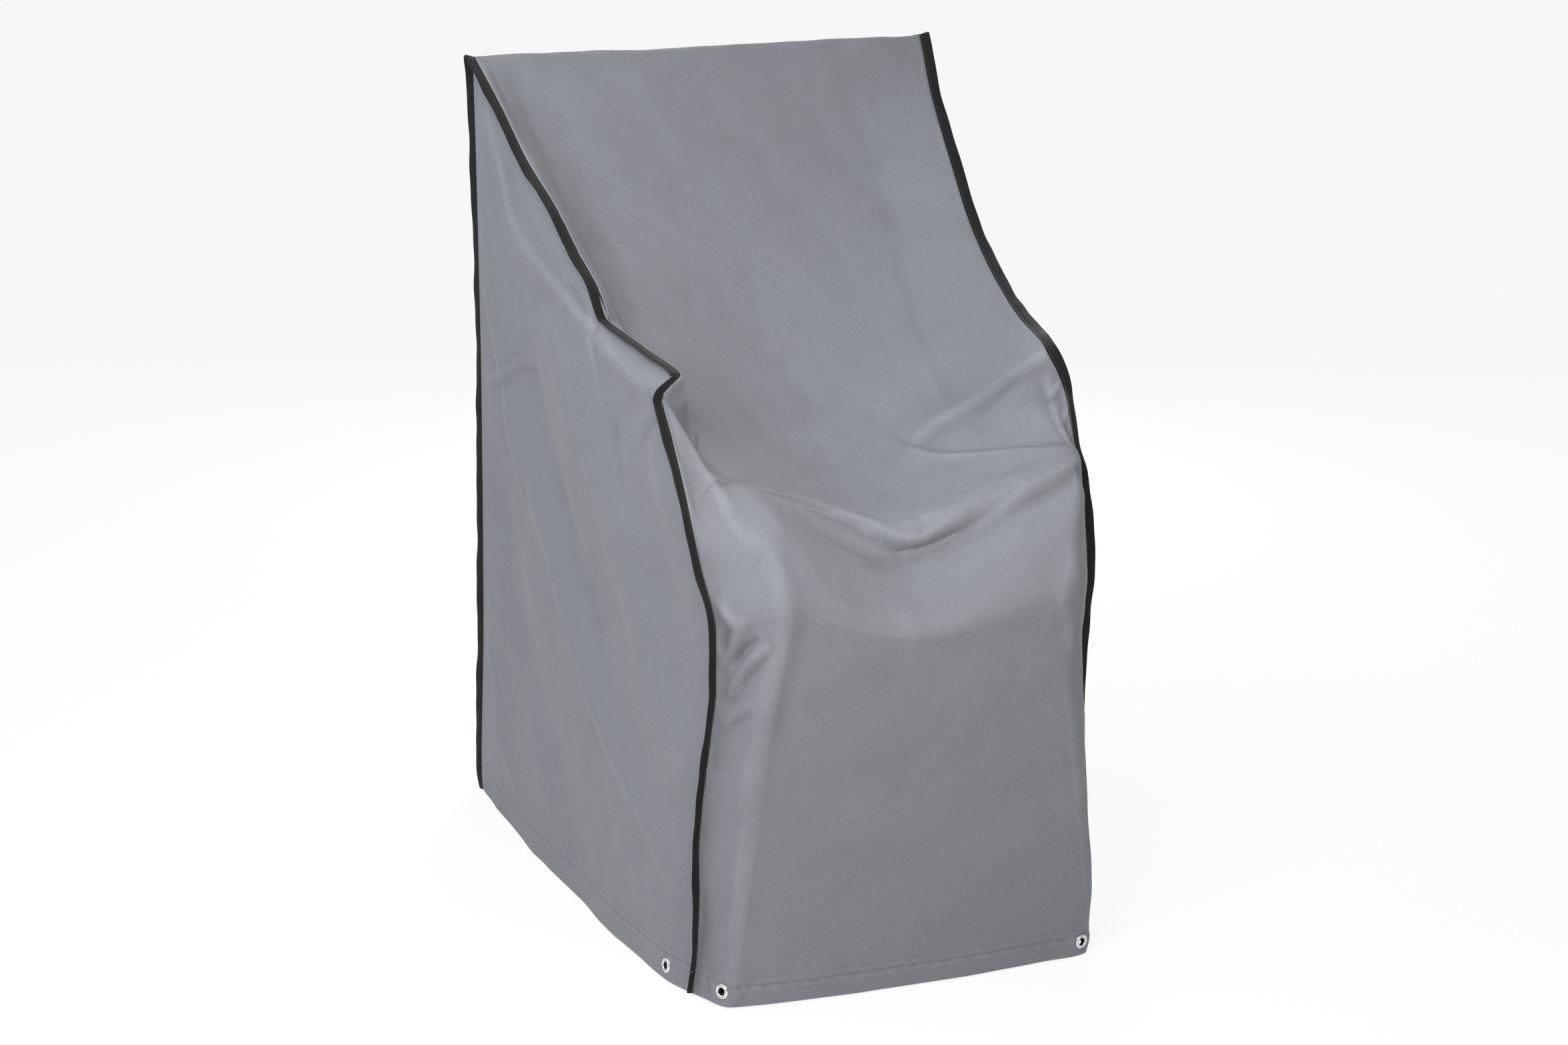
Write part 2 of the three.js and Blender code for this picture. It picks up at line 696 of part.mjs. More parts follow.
// A side hem's net and its eyelet seat, turned so that it faces out.
function sideHem(panel) {
  const { hem, tip, outward } = panel;
  const length = pointAt(hem, 0).distanceTo(pointAt(hem, 1));
  const seatEdges = [-0.5, 0.5].map((share) => SIDE_EYELET_AT + (share * EYELET_SEAT) / length);
  const hemShare = HEM / (FRONT - tip);
  const before = SLOPE_ALONG.map((along) => along / tip).filter((depth) => depth < seatEdges[0] - SEAT_MARGIN);
  const depths = [...before, ...seatEdges, 1];
  const net = depths.map((depth) => [0, hemShare].map((height) => foldedSidePoint(panel, depth, height)));
  const ends = [[0, 1], [net.length - 1, net.length - 2]];
  ends.forEach(([edge, inner]) => {
    const [low, high] = net[edge];
    net[edge] = [pulled(low, net[inner][0], low, high), pulled(high, net[inner][1], low, high)];
  });
  const [a, b] = seatEdges.map((depth) => net[depths.indexOf(depth)]);
  const [left, right] = outward < 0 ? [a, b] : [b, a];
  const seat = eyeletSeat(left[0], right[0], left[1], right[1]);
  return { net: outward < 0 ? net.reverse() : net, seats: [seat] };
}

// A pressed eyelet round its own axis: front flange, barrel through the cloth, rear flange.
function eyeletGeometry() {
  const hole = EYELET_HOLE / 2;
  const flange = EYELET_FLANGE / 2;
  const face = CLOTH / 2 + EYELET_LIFT;
  const profile = [
    [hole, face], [hole + 0.6, face + 0.9], [hole + 2.2, face + 1.3], [flange - 0.4, face + 0.8],
    [flange, face + 0.2], [flange - 0.3, face], [hole + EYELET_WALL, face], [hole + EYELET_WALL, -face],
    [flange - 1.2, -face], [flange - 1.6, -face - 0.7], [hole + 0.6, -face - 0.8], [hole, -face],
  ];
  const points = [...profile, profile[0]].reverse().map(([r, h]) => new THREE.Vector2(r, h));
  return new THREE.LatheGeometry(points, EYELET_SIDES);
}

// The binding tape: a flat band that stands out from its seam, swept along it.
function tapeGeometry({ seam, outward }) {
  const half = TAPE_THICKNESS / 2;
  const rings = TAPE_ALONG.map((along) => {
    const root = pointAt(seam, along);
    const way = pointAt(seam, along + TAPE_LOOK).sub(pointAt(seam, along - TAPE_LOOK)).normalize();
    const lean = THREE.MathUtils.degToRad(smooth(seam.at, seam.lean, along));
    const face = new THREE.Vector3(0, way.z, -way.y).normalize();
    const out = face.multiplyScalar(Math.sin(lean)).add(new THREE.Vector3(outward * Math.cos(lean), 0, 0));
    out.addScaledVector(way, -out.dot(way)).normalize();
    const flat = way.clone().cross(out);
    return [[-TAPE_ROOT, half], [TAPE_WIDTH, half], [TAPE_WIDTH, -half], [-TAPE_ROOT, -half]].map(
      ([reach, side]) => root.clone().addScaledVector(out, reach).addScaledVector(flat, side),
    );
  });
  const index = [];
  const quad = (a, b, c, d) => index.push(a, b, c, a, c, d);
  const last = 4 * (rings.length - 1);
  for (let ring = 0; ring < last; ring += 4) {
    for (let k = 0; k < 4; k += 1) {
      const next = (k + 1) % 4;
      quad(ring + k, ring + next, ring + 4 + next, ring + 4 + k);
    }
  }
  quad(3, 2, 1, 0);
  quad(last, last + 1, last + 2, last + 3);
  return indexed(rings.flat(), index);
}

// Turns a closed geometry right side out if its faces point inwards.
function outwardFacing(geometry) {
  const flat = geometry.index ? geometry.toNonIndexed() : geometry;
  const p = flat.attributes.position;
  const corner = (i) => new THREE.Vector3().fromBufferAttribute(p, i);
  let volume = 0;
  for (let i = 0; i < p.count; i += 3) volume += corner(i).dot(corner(i + 1).cross(corner(i + 2)));
  if (volume < 0) {
    const index = geometry.index.array;
    for (let i = 0; i < index.length; i += 3) [index[i], index[i + 1]] = [index[i + 1], index[i]];
  }
  return geometry;
}

function piece(name, geometry, finish) {
  const mesh = new THREE.Mesh(outwardFacing(geometry), new THREE.MeshStandardMaterial(finish));
  mesh.name = name;
  return mesh;
}

function eyelet(name, seat) {
  const mesh = piece(name, eyeletGeometry(), STEEL);
  mesh.position.copy(seat.centre);
  mesh.quaternion.setFromUnitVectors(new THREE.Vector3(0, 1, 0), seat.facing);
  return mesh;
}

const cover = new THREE.Group();
cover.position.copy(CARRIER).negate();

cover.add(piece('main-strip', sheet(stripNet(STRIP_ACROSS, STRIP_ALONG, STRIP_FOLDS), CLOTH), GREY));

const front = frontHem();
cover.add(piece('hem-front', hemGeometry(front.net, front.seats), GREY));
Object.keys(FRONT_EYELETS).forEach((name, i) => cover.add(eyelet(name, front.seats[i])));

const SIDES = [
  { side: 'left', seam: SEAM_LEFT, hem: SIDE_HEM_LEFT, tip: TIP_LEFT, outward: -1 },
  { side: 'right', seam: SEAM_RIGHT, hem: SIDE_HEM_RIGHT, tip: TIP_RIGHT, outward: 1 },
];
SIDES.forEach((panel) => {
  cover.add(piece(`side-panel-${panel.side}`, sheet(sideNet(panel), CLOTH), GREY));
  cover.add(piece(`binding-${panel.side}`, tapeGeometry(panel), BLACK));
  const low = sideHem(panel);
  cover.add(piece(`hem-${panel.side}`, hemGeometry(low.net, low.seats), GREY));
  cover.add(eyelet(`eyelet-side-${panel.side}`, low.seats[0]));
});

export default cover;
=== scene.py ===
"""The looks of a fitted stacking chair cover: coated cloth in its folds, black binding tape, hem and eyelets.

Lengths in the tables are millimetres above the hem, from the middle of the cover, and the front faces -Y.
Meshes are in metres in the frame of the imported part, whose origin is the point under the top that carries it.
"""

from __future__ import annotations

import logging
import math
from dataclasses import dataclass, field
from enum import Enum
from typing import Callable, Sequence

import bpy
import numpy as np
from mathutils import Matrix, Vector

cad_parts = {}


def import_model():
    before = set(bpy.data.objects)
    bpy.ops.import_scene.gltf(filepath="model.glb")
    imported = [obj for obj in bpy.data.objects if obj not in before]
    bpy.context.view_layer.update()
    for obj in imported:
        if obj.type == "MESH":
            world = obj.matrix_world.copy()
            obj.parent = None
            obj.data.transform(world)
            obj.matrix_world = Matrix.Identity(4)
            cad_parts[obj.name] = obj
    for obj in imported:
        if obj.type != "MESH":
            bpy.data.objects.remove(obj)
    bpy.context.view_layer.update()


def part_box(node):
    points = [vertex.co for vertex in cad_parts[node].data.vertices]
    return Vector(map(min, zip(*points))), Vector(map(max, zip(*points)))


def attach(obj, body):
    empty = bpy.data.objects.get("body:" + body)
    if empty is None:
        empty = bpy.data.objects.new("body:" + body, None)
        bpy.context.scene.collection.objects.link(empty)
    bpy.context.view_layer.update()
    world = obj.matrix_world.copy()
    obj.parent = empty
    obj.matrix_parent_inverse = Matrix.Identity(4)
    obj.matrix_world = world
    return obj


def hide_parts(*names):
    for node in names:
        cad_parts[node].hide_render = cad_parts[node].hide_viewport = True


LOG = logging.getLogger("chair_cover")

MM = 0.001
CARRIER = np.array([0.0, 300.0, 1062.0])  # the part's origin, above the hem
CLOTH = 2.0  # thickness of the coated cloth
HALF_STRIP = 330.0  # half the cut width of the long strip
REAR = -1072.0  # cut distance from the top fold to the rear hem, counted negative down the back
FRONT = 1548.0  # cut distance from the top fold to the front hem
HEM = 40.0  # height of the turned hem
FOOT_LEFT_ACROSS = -224.0  # cut width at which the left foot line of the strip runs
FOOT_RIGHT_ACROSS = 205.0
EYELET_HOLE = 10.0  # clear diameter
EYELET_FLANGE = 19.0  # outer diameter
CUT_MARGIN = 1.6  # from the eyelet's clear hole out to the edge of the hole in the cloth
HEM_ROWS = 22  # rows next to a hem, all of which the inner face has as well
TAPE = 14.6  # how far the folded tape stands out from its seam
CREST_OVER = 10.0  # distance over which crests and creases are measured
CREST_LEAST = 4.0  # neighbours closer than this count as this far away
TIP_LEFT = 743.0  # cut distance from the top fold to the left arm tip
TIP_RIGHT = 735.0

Table = Sequence[Sequence[float]]
Colour = tuple[float, float, float]

# Seams. Columns: cut distance from the top fold, x, y, z, and how far the tape leans from straight sideways.
SEAM_LEFT: Table = (
    (-1072, -331, 330, 0, 78),
    (-1032, -331, 335, 40, 62),
    (-940, -331, 323, 128, 60),
    (-800, -331, 303, 266, 58),
    (-580, -330, 290, 490, 62),
    (-370, -330, 280, 700, 72),
    (-130, -330, 279, 940, 58),
    (-25, -330, 281, 1052, 44),
    (0, -330, 281, 1074, 14),
    (35, -327, 258, 1060, 14),
    (125, -319, 184, 1016, 14),
    (225, -309, 103, 960, 12),
    (335, -298, 8, 912, 12),
    (405, -287, -49, 866, 12),
    (485, -277, -112, 822, 12),
    (520, -268, -123, 789, 12),
    (625, -256, -227, 775, 14),
    (743, -245, -340, 762, 18),
    (785, -266, -334, 735, 24),
    (830, -263, -362, 690, 30),
    (915, -259, -410, 616, 34),
    (1000, -249, -434, 540, 36),
    (1065, -240, -458, 470, 36),
    (1140, -240, -457, 399, 36),
    (1210, -246, -452, 333, 36),
    (1350, -258, -442, 196, 36),
    (1425, -262, -453, 122, 40),
    (1508, -267, -453, 40, 44),
    (1548, -272, -453, 0, 44),
)
SEAM_RIGHT: Table = (
    (-1072, 331, 335, 0, 78),
    (-1032, 331, 335, 40, 80),
    (-800, 331, 325, 266, 80),
    (-370, 331, 312, 700, 80),
    (-25, 331, 304, 1050, 44),
    (0, 330, 303, 1073, 14),
    (35, 326, 282, 1056, 16),
    (125, 314, 222, 1006, 14),
    (225, 300, 122, 934, 12),
    (370, 286, -6, 843, 12),
    (485, 272, -110, 803, 12),
    (610, 259, -220, 773, 14),
    (735, 245, -338, 755, 14),
    (785, 260, -346, 722, -6),
    (830, 268, -356, 688, -34),
    (880, 270, -370, 640, -34),
    (915, 272, -385, 605, -20),
    (980, 274, -398, 550, -6),
    (1065, 277, -402, 478, -12),
    (1210, 272, -394, 340, -12),
    (1350, 268, -402, 196, 0),
    (1508, 264, -412, 40, 10),
    (1548, 262, -412, 0, 10),
)

# Lines of the long strip between its seams. Columns: cut distance from the top fold, x, y, z.
FOOT_LEFT: Table = (
    (-1072, -225, 336, 0),
    (-500, -225, 312, 560),
    (-25, -225, 298, 1051),
    (0, -225, 290, 1073),
    (170, -215, 180, 975),
    (311, -208, 85, 885),
    (449, -200, -20, 802),
    (580, -196, -130, 730),
    (697, -194, -245, 683),
    (743, -194, -290, 668),
    (830, -200, -350, 640),
    (915, -190, -392, 627),
    (1000, -172, -470, 565),
    (1065, -166, -508, 504),
    (1180, -185, -512, 390),
    (1330, -205, -514, 250),
    (1508, -234, -508, 40),
    (1548, -240, -507, 0),
)
MIDDLE: Table = (
    (-1072, 0, 338, 0),
    (-500, 0, 324, 560),
    (-25, 0, 314, 1048),
    (0, 0, 304, 1069),
    (170, 0, 195, 950),
    (311, 0, 98, 848),
    (449, 0, 0, 753),
    (580, 0, -100, 670),
    (697, 0, -200, 611),
    (801, 0, -300, 580),
    (900, 0, -396, 556),
    (915, 5, -410, 545),
    (950, 5, -426, 523),
    (1000, 5, -464, 505),
    (1040, 5, -492, 484),
    (1078, 5, -514, 455),
    (1250, 3, -520, 290),
    (1508, 0, -522, 40),
    (1548, 0, -522, 0),
)
FOOT_RIGHT: Table = (
    (-1072, 205, 338, 0),
    (-500, 205, 322, 560),
    (-25, 205, 312, 1050),
    (0, 205, 303, 1072),
    (170, 196, 208, 957),
    (311, 188, 106, 862),
    (449, 180, -3, 772),
    (580, 173, -112, 703),
    (697, 168, -222, 655),
    (743, 170, -268, 643),
    (830, 194, -342, 634),
    (905, 242, -432, 634),
    (945, 236, -452, 606),
    (1000, 214, -486, 556),
    (1065, 205, -512, 484),
    (1180, 196, -516, 372),
    (1240, 204, -518, 310),
    (1330, 214, -519, 220),
    (1420, 226, -516, 130),
    (1508, 238, -508, 40),
    (1548, 234, -510, 0),
)

# Hems of the side panels. Columns: share of the way from the rear seam to the front seam, x, y, z.
SIDE_HEM_LEFT: Table = (
    (0, -331, 330, 0),
    (0.13, -333, 228, 0),
    (0.32, -330, 76, 0),
    (0.54, -318, -94, 0),
    (0.82, -303, -315, 0),
    (0.93, -291, -400, 0),
    (1, -272, -453, 0),
)
SIDE_HEM_RIGHT: Table = (
    (0, 331, 335, 0),
    (0.13, 333, 234, 0),
    (0.32, 331, 82, 0),
    (0.54, 322, -84, 0),
    (0.82, 300, -290, 0),
    (0.93, 284, -366, 0),
    (1, 262, -412, 0),
)


class Side(Enum):
    """A side of the cover, seen from the front; its value is the way that it faces along X."""

    LEFT = -1
    RIGHT = 1

    @property
    def word(self) -> str:
        """The side's name as it ends a piece's name."""
        return self.name.lower()


class SmoothLine:
    """A curve through the rows of a table that never overshoots them."""

    def __init__(self, places: Sequence[float], values: np.ndarray) -> None:
        """Works out the tangents.

        Args:
            places: Rising places of the rows.
            values: One row of values for each place, of any number of columns or further axes.
        """
        self.at = np.asarray(places, float)
        self.values = np.asarray(values, float)
        wide = (-1,) + (1,) * (self.values.ndim - 1)
        gap = np.diff(self.at).reshape(wide)
        rise = np.diff(self.values, axis=0) / gap
        before, after = rise[:-1], rise[1:]
        near, far = gap[1:], gap[:-1]
        with np.errstate(divide="ignore", invalid="ignore"):
            mean = 3 * (near + far) / ((2 * near + far) / before + (near + 2 * far) / after)
        inner = np.where(before * after > 0, mean, 0.0)
        self.slope = np.concatenate([rise[:1], inner, rise[-1:]])

    @classmethod
    def of(cls, table: Table) -> SmoothLine:
        """A line whose places are the table's first column."""
        rows = np.asarray(table, float)
        return cls(rows[:, 0], rows[:, 1:])

    def __call__(self, places: np.ndarray | Sequence[float]) -> np.ndarray:
        """Reads the line.

        Args:
            places: Where to read it. Places past an end read that end.

        Returns:
            One row of values for each place.
        """
        p = np.clip(np.asarray(places, float), self.at[0], self.at[-1])
        i = np.clip(np.searchsorted(self.at, p, side="right") - 1, 0, len(self.at) - 2)
        span = self.at[i + 1] - self.at[i]
        t = (p - self.at[i]) / span
        wide = p.shape + (1,) * (self.values.ndim - 1)
        t, span = t.reshape(wide), span.reshape(wide)
        s = 1 - t
        return (
            self.values[i] * s * s * (1 + 2 * t)
            + self.values[i + 1] * t * t * (3 - 2 * t)
            + span * (self.slope[i] * t * s * s - self.slope[i + 1] * t * t * s)
        )


def ease(low: float, high: float, value: np.ndarray) -> np.ndarray:
    """A smooth step from 0 at low to 1 at high."""
    t = np.clip((value - low) / (high - low), 0, 1)
    return t * t * (3 - 2 * t)


def in_frame(points: np.ndarray) -> np.ndarray:
    """Points above the hem in millimetres, as metres in the part's frame."""
    return (points - CARRIER) * MM


@dataclass(frozen=True)
class Fold:
    """A fold along a path drawn on the flat cloth.

    Attributes:
        path: Rows of two cut coordinates and the height there, all in millimetres. A negative height sinks.
        left: How far the fold reaches to the left of its path.
        right: How far it reaches to the right.
        crest: How round its crest is, as a share of its reach: 0.1 is a sharp crease, 1 is soft.
    """

    path: Table
    left: float
    right: float
    crest: float = 0.5

    FINER = 6  # steps of the path for each of its rows
    FAR = 3  # reaches away from the path where the fold has died out
    FALL = 0.35  # how much faster than a plain slope the fold dies out

    def lift(self, first: np.ndarray, second: np.ndarray) -> np.ndarray:
        """How far the fold lifts the cloth.

        Args:
            first: First cut coordinate of each point.
            second: Second cut coordinate.

        Returns:
            The lift of each point.
        """
        rows = np.asarray(self.path, float)
        steps = np.arange(len(rows))
        last = len(rows) - 1
        fine = SmoothLine(steps, rows)(np.linspace(0, last, self.FINER * last + 1))
        out = np.zeros(first.shape)
        reach = self.FAR * max(self.left, self.right)
        low, high = fine[:, :2].min(0) - reach, fine[:, :2].max(0) + reach
        near = (first > low[0]) & (first < high[0]) & (second > low[1]) & (second < high[1])
        points = np.stack([first[near], second[near]], 1)
        best = np.full(len(points), np.inf)
        signed = np.zeros(len(points))
        height = np.zeros(len(points))
        for a, b in zip(fine[:-1], fine[1:]):
            way = b[:2] - a[:2]
            offset = points - a[:2]
            share = np.clip(offset @ way / (way @ way), 0, 1)
            apart = offset - share[:, None] * way
            distance = np.hypot(apart[:, 0], apart[:, 1])
            closer = distance < best
            best = np.where(closer, distance, best)
            cross = way[0] * offset[:, 1] - way[1] * offset[:, 0]
            signed = np.where(closer, np.sign(cross), signed)
            height = np.where(closer, a[2] + share * (b[2] - a[2]), height)
        t = best / np.where(signed > 0, self.left, self.right)
        round_off = np.sqrt(t * t + self.crest**2) - self.crest
        out[near] = height * np.exp(-round_off - self.FALL * t * t)
        return out


@dataclass(frozen=True)
class Waves:
    """Low, uneven swells that keep the cloth from looking ironed.

    Attributes:
        length: Typical distance between crests, in millimetres.
        height: Typical height, in millimetres.
        seed: Seed of the directions and phases.
        count: How many waves are summed.
    """

    length: float
    height: float
    seed: int
    count: int = 14

    SHORTEST, LONGEST = 0.6, 1.7  # lengths of single waves, as shares of the typical length
    BEND, BEND_LENGTH = 0.6, 2.3  # how far crests bend, and over how many lengths

    def lift(self, first: np.ndarray, second: np.ndarray) -> np.ndarray:
        """How far the swells lift the cloth.

        Args:
            first: First cut coordinate of each point.
            second: Second cut coordinate.

        Returns:
            The lift of each point.
        """
        rng = np.random.default_rng(self.seed)
        out = np.zeros(first.shape)
        for _ in range(self.count):
            angle = rng.uniform(0, math.tau)
            length = self.length * rng.uniform(self.SHORTEST, self.LONGEST)
            phase = rng.uniform(0, math.tau)
            along = first * math.cos(angle) + second * math.sin(angle)
            aside = second * math.cos(angle) - first * math.sin(angle)
            bend = self.BEND * np.sin(aside / (self.BEND_LENGTH * length) + phase)
            out += np.sin(math.tau * along / length + phase + bend)
        return out * self.height / math.sqrt(self.count)


# Folds of the long strip. Path columns: cut distance across from the middle, along from the top fold, height.
STRIP_FOLDS: tuple[Fold, ...] = (
    # Trough beside the left slope, where the cloth climbs to the seam.
    Fold(((-292, 12, 0), (-288, 60, -9), (-280, 220, -14), (-272, 380, -16), (-262, 500, -17),
          (-250, 640, -14), (-246, 720, -6)), 30, 84, 0.7),
    # Ridge that falls from the left hook to the seat corner.
    Fold(((-327, 792, 3), (-296, 822, 8), (-269, 892, 9), (-262, 935, 6)), 20, 15, 0.4),
    # Seat edge: from the left corner down to its lowest point, and up again.
    Fold(((-262, 893, 4), (-200, 872, 3), (-111, 842, 4), (-45, 872, 7), (28, 922, 9), (62, 916, 8),
          (100, 894, 2)), 9, 34, 0.06),
    # Hollow under it.
    Fold(((-190, 894, -1), (-153, 894, -2), (-80, 880, -4), (-20, 910, -5), (30, 938, -5), (66, 932, -4),
          (120, 906, -2)), 14, 9, 0.5),
    # Crease left by packing, across the lowest point.
    Fold(((34, 884, 0), (36, 904, -1.6), (31, 922, -2.2), (28, 948, -1.2), (27, 962, 0)), 3.2, 3.2, 0.4),
    # Left front corner, from the seat corner to the hem.
    Fold(((-262, 900, 2), (-259, 972, 4), (-224, 1000, 6), (-228, 1062, 8), (-238, 1172, 7), (-246, 1306, 5),
          (-240, 1422, 4), (-228, 1520, 3)), 26, 22, 0.5),
    # Small folds that zigzag down the left front corner.
    Fold(((-322, 1030, 0), (-308, 1052, 9), (-296, 1070, 11), (-300, 1088, 9), (-324, 1112, 0)), 8, 12, 0.12),
    Fold(((-318, 1064, 0), (-318, 1080, -6), (-322, 1096, 0)), 8, 8, 0.5),
    Fold(((-308, 1158, 0), (-292, 1138, 9), (-270, 1120, 10), (-244, 1104, 0)), 7, 13, 0.12),
    Fold(((-304, 1120, 0), (-286, 1104, -7), (-262, 1088, 0)), 8, 10, 0.5),
    Fold(((-310, 1200, 0), (-292, 1186, 5), (-268, 1180, 4), (-246, 1184, 0)), 7, 11, 0.15),
    # Hollow behind the left hook.
    Fold(((-300, 760, -4), (-262, 772, -12), (-232, 800, -12), (-214, 850, -5)), 30, 34, 0.8),
    # Ridge from the right arm tip into the seat.
    Fold(((328, 744, 4), (269, 718, 9), (195, 710, 11), (140, 718, 6), (117, 726, 0)), 30, 12, 0.3),
    # Lower edge of that fold.
    Fold(((112, 724, 0), (122, 752, 5), (155, 802, 7), (190, 846, 6), (215, 866, 6), (281, 886, 5),
          (329, 892, 2)), 24, 9, 0.2),
    # Crease that stands under the right arm tip.
    Fold(((316, 762, 0), (309, 800, 6), (302, 840, 7), (296, 868, 5), (282, 884, 0)), 8, 5, 0.15),
    Fold(((328, 786, 0), (316, 800, 5), (302, 810, 0)), 6, 5, 0.2),
    Fold(((328, 838, 0), (312, 846, 4), (298, 850, 0)), 6, 6, 0.2),
    # Valley under the right seat corner.
    Fold(((300, 926, 0), (240, 924, -9), (157, 938, -8), (110, 934, 0)), 20, 18, 0.6),
    # Soft break from the seat front to the front drop.
    Fold(((-200, 1062, 3), (-21, 1058, 4), (89, 1058, 4), (200, 1048, 4)), 40, 26, 0.5),
    # Right front corner, pinched at one place.
    Fold(((212, 1000, 0), (201, 1034, 4), (189, 1068, 6), (203, 1098, 5), (212, 1120, 5), (250, 1168, 5),
          (258, 1206, 5), (240, 1296, 5), (230, 1428, 4), (236, 1530, 2)), 16, 22, 0.35),
    # Soft folds that hang down the back.
    Fold(((-120, -60, 0), (-140, -300, 5), (-150, -700, 8), (-160, -1072, 9)), 44, 50, 0.9),
    Fold(((20, -120, 0), (24, -500, -5), (30, -1072, -7)), 60, 60, 0.9),
    Fold(((150, -60, 0), (160, -400, 5), (175, -1072, 8)), 48, 44, 0.9),
)

# Folds of the side panels. Path columns: y, z, height outwards.
SIDE_FOLDS: tuple[Fold, ...] = (
    # Fan of folds from the top corner: under the slope, then beside the rear edge.
    Fold(((257, 1055, 0), (200, 985, 8), (133, 892, 10), (42, 842, 10), (-70, 800, 9), (-165, 765, 8),
          (-250, 742, 7), (-325, 728, 2)), 26, 12, 0.12),
    Fold(((262, 1000, 0), (268, 920, 6), (256, 829, 8), (226, 729, 8), (176, 631, 7),
          (160, 581, 5)), 12, 30, 0.12),
    # Long fold with a thin crest, down to the hem.
    Fold(((176, 640, 0), (158, 581, 6), (98, 510, 10), (0, 419, 11), (-85, 327, 11), (-163, 262, 11),
          (-262, 205, 10), (-345, 165, 8), (-420, 118, 3)), 18, 52, 0.07),
    # Broad dome in front of it.
    Fold(((30, 800, 0), (-5, 750, 4), (-80, 640, 9), (-165, 555, 11), (-245, 448, 11), (-300, 352, 9),
          (-390, 290, 5)), 44, 58, 0.8),
    # Sharp tuck behind the long fold's crest.
    Fold(((110, 540, 0), (84, 495, -5), (48, 455, -5), (-6, 396, 0)), 7, 12, 0.15),
    # Low fold near the rear.
    Fold(((296, 300, 0), (282, 262, 6), (241, 209, 8), (220, 130, 7), (171, 77, 5),
          (140, 40, 0)), 14, 30, 0.12),
    # Hollows between the folds.
    Fold(((110, 740, 0), (60, 640, -8), (-20, 510, -9), (-110, 400, -9), (-200, 310, -5)), 34, 34, 0.9),
    Fold(((230, 560, 0), (190, 440, -8), (110, 300, -9), (10, 180, -7), (-70, 90, -3)), 46, 50, 0.9),
    # Marks left by packing.
    Fold(((300, 632, 0), (250, 636, 2), (192, 650, 3), (120, 684, 3), (60, 700, 0)), 5, 9, 0.2),
    Fold(((300, 716, 0), (272, 725, 3), (244, 746, 0)), 5, 8, 0.2),
    Fold(((318, 380, 0), (300, 350, 4), (268, 316, 4), (240, 300, 0)), 7, 10, 0.2),
    Fold(((322, 470, 0), (306, 452, 3), (284, 436, 0)), 6, 9, 0.2),
    # Dent under the kink above the arm.
    Fold(((-40, 826, 0), (-70, 812, -6), (-98, 795, -9), (-134, 766, -4)), 16, 18, 0.5),
    # Folds under the arm, and the dimple behind the hook.
    Fold(((-318, 740, 0), (-300, 715, 4), (-272, 690, 4), (-240, 668, 0)), 18, 18, 0.5),
    Fold(((-300, 690, 0), (-318, 660, 5), (-336, 630, 5), (-372, 560, 0)), 20, 20, 0.5),
    Fold(((-296, 742, 0), (-306, 724, -8), (-312, 706, -6), (-316, 690, 0)), 9, 9, 0.4),
    Fold(((-180, 690, 0), (-196, 650, -5), (-220, 600, -4), (-240, 560, 0)), 20, 20, 0.6),
)


@dataclass
class ClothMesh:
    """A thin closed sheet on a net of points, with a coarser net behind it.

    Attributes:
        name: Name of the piece.
        outer: Net of the face that shows, in millimetres above the hem.
        inner: Net of the face behind it, with the same lines but only some of the rows.
        kept: The rows of the outer net that the inner net has.
        cut: Cut coordinates of the outer net, in millimetres.
    """

    name: str
    outer: np.ndarray
    inner: np.ndarray
    kept: np.ndarray
    cut: np.ndarray

    def build(self) -> bpy.types.Object:
        """Makes the mesh, with its cut coordinates as a UV map and its crests as an attribute.

        Returns:
            The piece.
        """
        wide, long, _ = self.outer.shape
        rows = len(self.kept)
        points = np.concatenate([self.outer.reshape(-1, 3), self.inner.reshape(-1, 3)])
        cut = np.concatenate([self.cut.reshape(-1, 2), self.cut[:, self.kept].reshape(-1, 2)])
        front = np.arange(wide * long).reshape(wide, long)
        back = wide * long + np.arange(wide * rows).reshape(wide, rows)
        faces = self._quads(front) + [face[::-1] for face in self._quads(back)]
        for i in range(wide - 1):
            faces.append([front[i + 1, 0], front[i, 0], back[i, 0], back[i + 1, 0]])
            faces.append([front[i, -1], front[i + 1, -1], back[i + 1, -1], back[i, -1]])
        for r in range(rows - 1):
            span = range(self.kept[r], self.kept[r + 1] + 1)
            faces.append([front[0, j] for j in span] + [back[0, r + 1], back[0, r]])
            faces.append([front[-1, j] for j in reversed(span)] + [back[-1, r], back[-1, r + 1]])
        piece = mesh_piece(self.name, points, [[int(v) for v in face] for face in faces], cut)
        crest = piece.data.attributes.new("crest", "FLOAT", "POINT")
        plain = np.zeros(self.inner[..., 0].size)
        crest.data.foreach_set("value", np.concatenate([crest_of(self.outer).ravel(), plain]))
        return piece

    @staticmethod
    def _quads(net: np.ndarray) -> list[list[int]]:
        """The faces of a net of vertex numbers, facing the way that across, along turns to."""
        corners = np.stack([net[:-1, :-1], net[1:, :-1], net[1:, 1:], net[:-1, 1:]], -1)
        return corners.reshape(-1, 4).tolist()


def net_normals(net: np.ndarray) -> np.ndarray:
    """Works out the ways that a net faces: the way along it crossed with the way across it.

    Args:
        net: Points by place across and place along.

    Returns:
        The outward direction at each point.
    """
    across = np.gradient(net, axis=0)
    along = np.gradient(net, axis=1)
    normal = np.cross(along, across)
    return normal / np.linalg.norm(normal, axis=2, keepdims=True)


